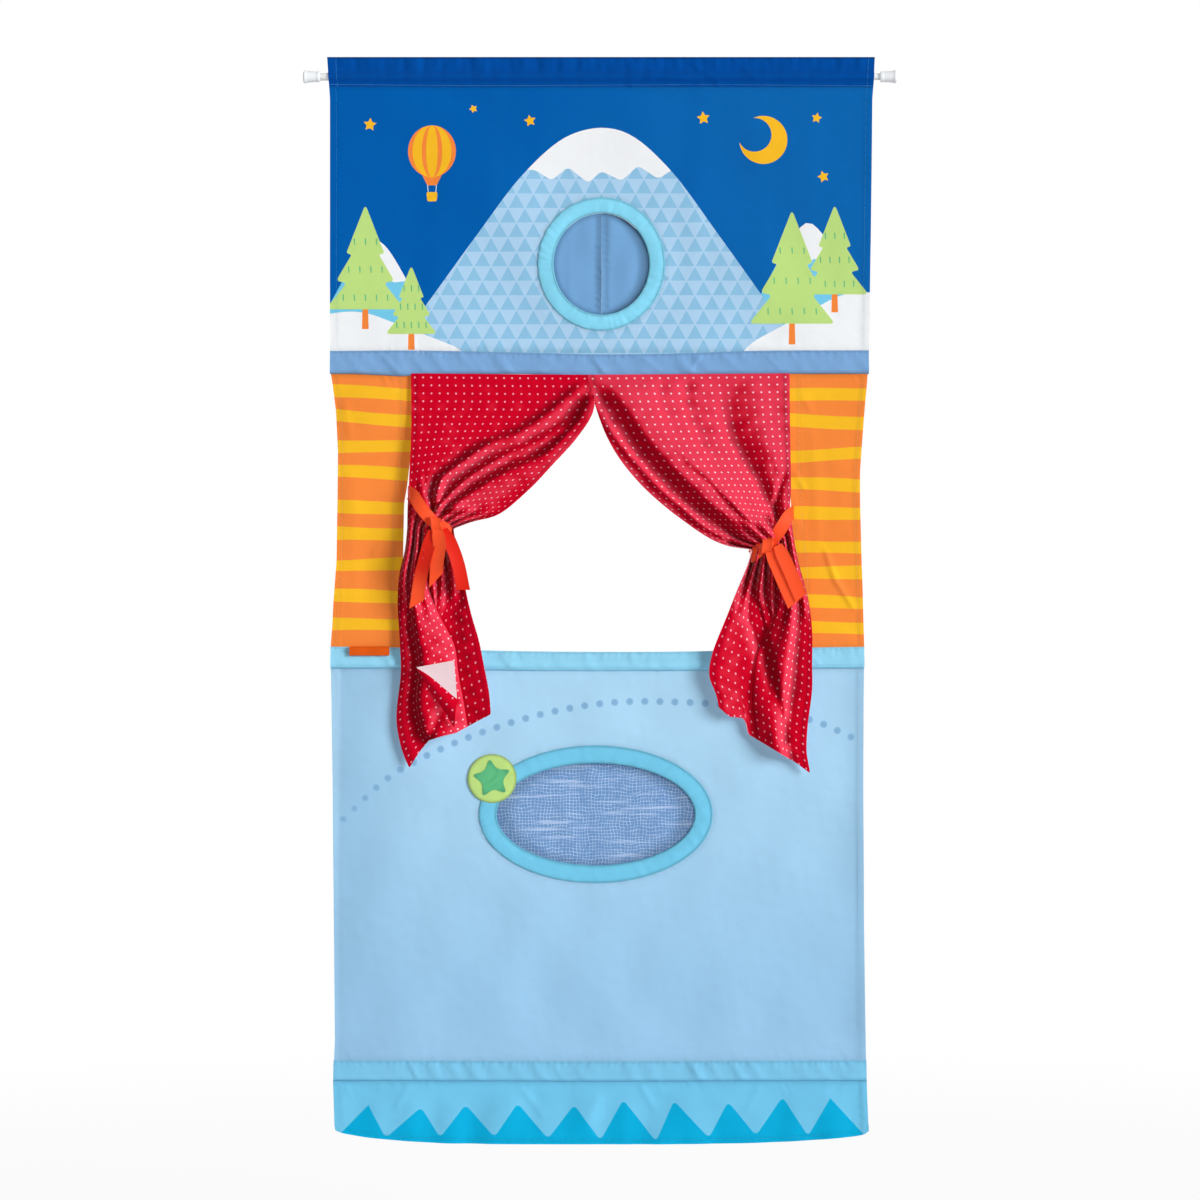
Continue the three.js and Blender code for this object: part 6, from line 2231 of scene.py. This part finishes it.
class THEATRE_OT_valance(bpy.types.Operator):
    """Build the valance with its printed zigzag"""

    bl_idname = "theatre.valance"
    bl_label = "Valance"

    def execute(self, context):
        tones = colours()
        low, high = node_box("valance")
        heights = np.linspace(high[2] + 0.0035, photo_z(1124), 16)
        left, right = side_rows(heights)
        foot = smooth_path(photo_points(VALANCE_FOOT), 120)
        outline = np.vstack((left, foot, right[::-1]))
        base_relief = sewn_relief(131, (high[2],), creases=(
            ((410, 1084), (395, 1110), 0.0012, 0.005), ((520, 1086), (545, 1118), 0.001, 0.006),
            ((640, 1084), (655, 1110), 0.0012, 0.006), ((760, 1084), (745, 1116), 0.001, 0.006),
            ((600, 1092), (584, 1130), 0.0009, 0.007),
        ))
        foot_x, foot_z = photo_points(VALANCE_FOOT).T
        hem = 0.0065

        def relief(x, z):
            y, seam = base_relief(x, z)
            away = z - np.interp(x, foot_x, foot_z)
            folded = smoothstep(hem + 0.001, hem - 0.001, away)
            near = hump(away - hem, 0.003)
            pucker = np.sin(2 * math.pi * x / 0.012 + 3 * soft_noise(x, z, 0.06, 133))
            hang = smoothstep(high[2], high[2] - 0.05, z)
            y = y - 0.0004 * folded + 0.0003 * near * pucker
            y = y + hang * 0.0012 * soft_noise(x, z * 0.4, 0.07, 134)
            return y, np.maximum(seam, 0.6 * near)

        peaks = photo_points(ZIGZAG)
        below = photo_points(((880, 1160), (320, 1160)))
        zigzag = np.vstack((peaks[:1], rounded(peaks[1:-1], 0.009, 6), peaks[-1:], below))
        materials = [
            cloth_material("valance_blue_cloth", tones.valance),
            cloth_material("valance_blue_cloth_zigzag", tones.zigzag),
            reverse_of("valance_blue_cloth", tones.valance),
        ]
        piece = cut_sheet("valance_cloth", outline, relief, materials, [(1, zigzag)], step=0.004)
        finish_piece(piece, "valance", "valance_blue_cloth", "valance")
        left, right = side_rows(heights, cloth().hem_width)
        paths = [left[2:], right[:1:-1], foot[6:-6] + (0, hem)]
        stitches = add_stitches("valance_stitches", paths, front_of(relief), (0.08, 0.4, 0.68),
                                "valance_blue_cloth", "valance")
        piece.parent = None
        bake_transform(piece)
        return {"FINISHED"}


class THEATRE_OT_label(bpy.types.Operator):
    """Build the folded side label, left blank"""

    bl_idname = "theatre.label"
    bl_label = "Side label"

    def execute(self, context):
        low, high = node_box("side_label")
        material = satin_material("label_orange_cloth", colours().label)
        front, back = low[1], high[1]
        wide, tall = high[0] - low[0], high[2] - low[2]
        rings, uvs = [], []
        rise = 0.0042
        for place in np.linspace(0, 1, 41):
            x = low[0] + wide * place
            lift = 0.0005 * math.sin(place * math.pi * 3) + 0.0004 * math.sin(place * 11)
            line = [(back + 0.0012, high[2] - 0.0005), (back - 0.0002, low[2] + tall * 0.6)]
            line += [(back - 0.0004 - 0.0004 * (1 - math.cos(turn)), low[2] + 0.0006 * (1 - math.sin(turn)))
                     for turn in np.linspace(0, math.pi, 7)]
            line += [(front - 0.0001 - lift, low[2] + tall * 0.4), (front - lift * 0.6, low[2] + tall * 0.75),
                     (front + 0.0012, high[2] - 0.0012), (front + 0.0032, high[2] - 0.0002)]
            rings.append([(x, y, z + rise) for y, z in line])
            uvs += [(place * wide, step * 0.002) for step in range(len(line))]
        piece = loft("side_label_cloth", rings, [material], np.zeros(len(uvs)), uvs=uvs)
        thicken(piece, 0.0004, reverse=False)
        finish_piece(piece, "banner", "label_orange_cloth", "side_label")
        return {"FINISHED"}


class THEATRE_OT_stage(bpy.types.Operator):
    """Set the camera, the lights, the world and the floor"""

    bl_idname = "theatre.stage"
    bl_label = "Camera, lights and floor"

    def execute(self, context):
        sizes = studio()
        scene = context.scene
        middle = float(photo_z(sizes.view_row))
        lens = bpy.data.cameras.new("camera")
        lens.sensor_width = sizes.sensor_width
        lens.lens = sizes.sensor_width * sizes.camera_distance / (sizes.frame_pixels * METRES_PER_PIXEL)
        lens.clip_end = 50
        camera = bpy.data.objects.new("camera", lens)
        camera.location = (0, -sizes.camera_distance, middle)
        camera.rotation_euler = (math.pi / 2, 0, 0)
        scene.collection.objects.link(camera)
        scene.camera = camera
        self.sun("key_light", sizes.key_strength, (0.82, -0.60, 0.22), 30)
        self.sun("fill_light", sizes.fill_strength, (-0.7, -0.9, 0.1), 40)
        self.sun("back_light", sizes.back_strength, (-0.35, 0.92, 0.25), 40, shadow=False)
        self.world(scene, sizes.world_strength)
        self.floor(sizes.floor_drop)
        scene.view_settings.view_transform = "Standard"
        return {"FINISHED"}

    def sun(self, name, strength, towards, spread_degrees, shadow=True):
        """A broad even lamp far away in one direction."""
        light = bpy.data.lights.new(name, "SUN")
        light.use_shadow = shadow
        light.energy = strength
        light.angle = math.radians(spread_degrees)
        lamp = bpy.data.objects.new(name, light)
        lamp.location = Vector(towards) * 5
        lamp.rotation_euler = (-Vector(towards)).to_track_quat("-Z", "Y").to_euler()
        bpy.context.scene.collection.objects.link(lamp)

    def seen(self, tree):
        """Where the backdrop is looked at, straight, in a reflection or through a clear piece."""
        rays = node(tree, "LightPath").outputs
        seen = maths(tree, "MAXIMUM", rays["Is Camera Ray"], rays["Is Glossy Ray"])
        return maths(tree, "MAXIMUM", seen, rays["Is Transmission Ray"])

    def world(self, scene, strength):
        """White where it is seen, and a soft even light on the cloth."""
        world = bpy.data.worlds.new("studio")
        scene.world = world
        world.use_nodes = True
        tree = world.node_tree
        tree.nodes.clear()
        soft = node(tree, "Background", {"Color": (1, 1, 1, 1), "Strength": strength})
        white = node(tree, "Background", {"Color": (1, 1, 1, 1), "Strength": 1.0})
        both = node(tree, "MixShader", {0: self.seen(tree), 1: soft.outputs[0], 2: white.outputs[0]})
        node(tree, "OutputWorld", {"Surface": both.outputs[0]})

    def floor(self, drop):
        """A pale floor that shows as white but keeps a faint shadow."""
        reach = 6.0
        corners = [(x * reach, y * reach, -drop) for x, y in ((-1, -1), (1, -1), (1, 1), (-1, 1))]
        material, tree, shader = new_material("floor")
        speckle = noise(tree, object_place(tree), 30.0)
        ground = mixed(tree, speckle, (0.82, 0.82, 0.82, 1), (0.86, 0.86, 0.86, 1))
        feed(tree, shader.inputs, {"Base Color": ground, "Roughness": 0.9})
        white = node(tree, "Emission", {"Color": (1, 1, 1, 1), "Strength": 1.0})
        away = node(tree, "VectorMath", {0: object_place(tree)}, operation="LENGTH").outputs["Value"]
        share = times(tree, self.seen(tree), spread(tree, away, 1.9, 3.4, 0.9, 1.0))
        both = node(tree, "MixShader", {0: share, 1: shader.outputs[0], 2: white.outputs[0]})
        tree.links.new(both.outputs[0], tree.nodes["Material Output"].inputs["Surface"])
        floor = new_piece("floor", corners, [(0, 1, 2, 3)], [material])


OPERATORS = (
    THEATRE_OT_stage, THEATRE_OT_rod, THEATRE_OT_dowels, THEATRE_OT_sleeve, THEATRE_OT_round_window,
    THEATRE_OT_upper_panel, THEATRE_OT_bands, THEATRE_OT_pillars, THEATRE_OT_ties, THEATRE_OT_curtains,
    THEATRE_OT_oval_window, THEATRE_OT_badge, THEATRE_OT_lower_panel, THEATRE_OT_valance, THEATRE_OT_label,
)
SETTINGS = {
    "theatre_cloth": TheatreCloth,
    "theatre_curtains": TheatreCurtains,
    "theatre_studio": TheatreStudio,
    "theatre_colours": TheatreColours,
}


class THEATRE_PT_panel(bpy.types.Panel):
    """Buttons for the theatre's pieces, and its settings"""

    bl_idname = "THEATRE_PT_panel"
    bl_label = "Doorway puppet theatre"
    bl_space_type = "VIEW_3D"
    bl_region_type = "UI"
    bl_category = "Theatre"

    def draw(self, context):
        layout = self.layout
        for operator in OPERATORS:
            layout.operator(operator.bl_idname)
        for name, group in SETTINGS.items():
            layout.label(text=group.__doc__.split(".")[0])
            for setting in group.__annotations__:
                layout.prop(getattr(context.scene, name), setting)


def register():
    for group in SETTINGS.values():
        bpy.utils.register_class(group)
    for name, group in SETTINGS.items():
        setattr(bpy.types.Scene, name, PointerProperty(type=group))
    for operator in OPERATORS:
        bpy.utils.register_class(operator)
    bpy.utils.register_class(THEATRE_PT_panel)


def unregister():
    bpy.utils.unregister_class(THEATRE_PT_panel)
    for operator in reversed(OPERATORS):
        bpy.utils.unregister_class(operator)
    for name, group in SETTINGS.items():
        delattr(bpy.types.Scene, name)
        bpy.utils.unregister_class(group)


def main():
    """Build every piece in order."""
    register()
    for operator in OPERATORS:
        part, name = operator.bl_idname.split(".")
        getattr(getattr(bpy.ops, part), name)()


if __name__ == "__main__":
    main()
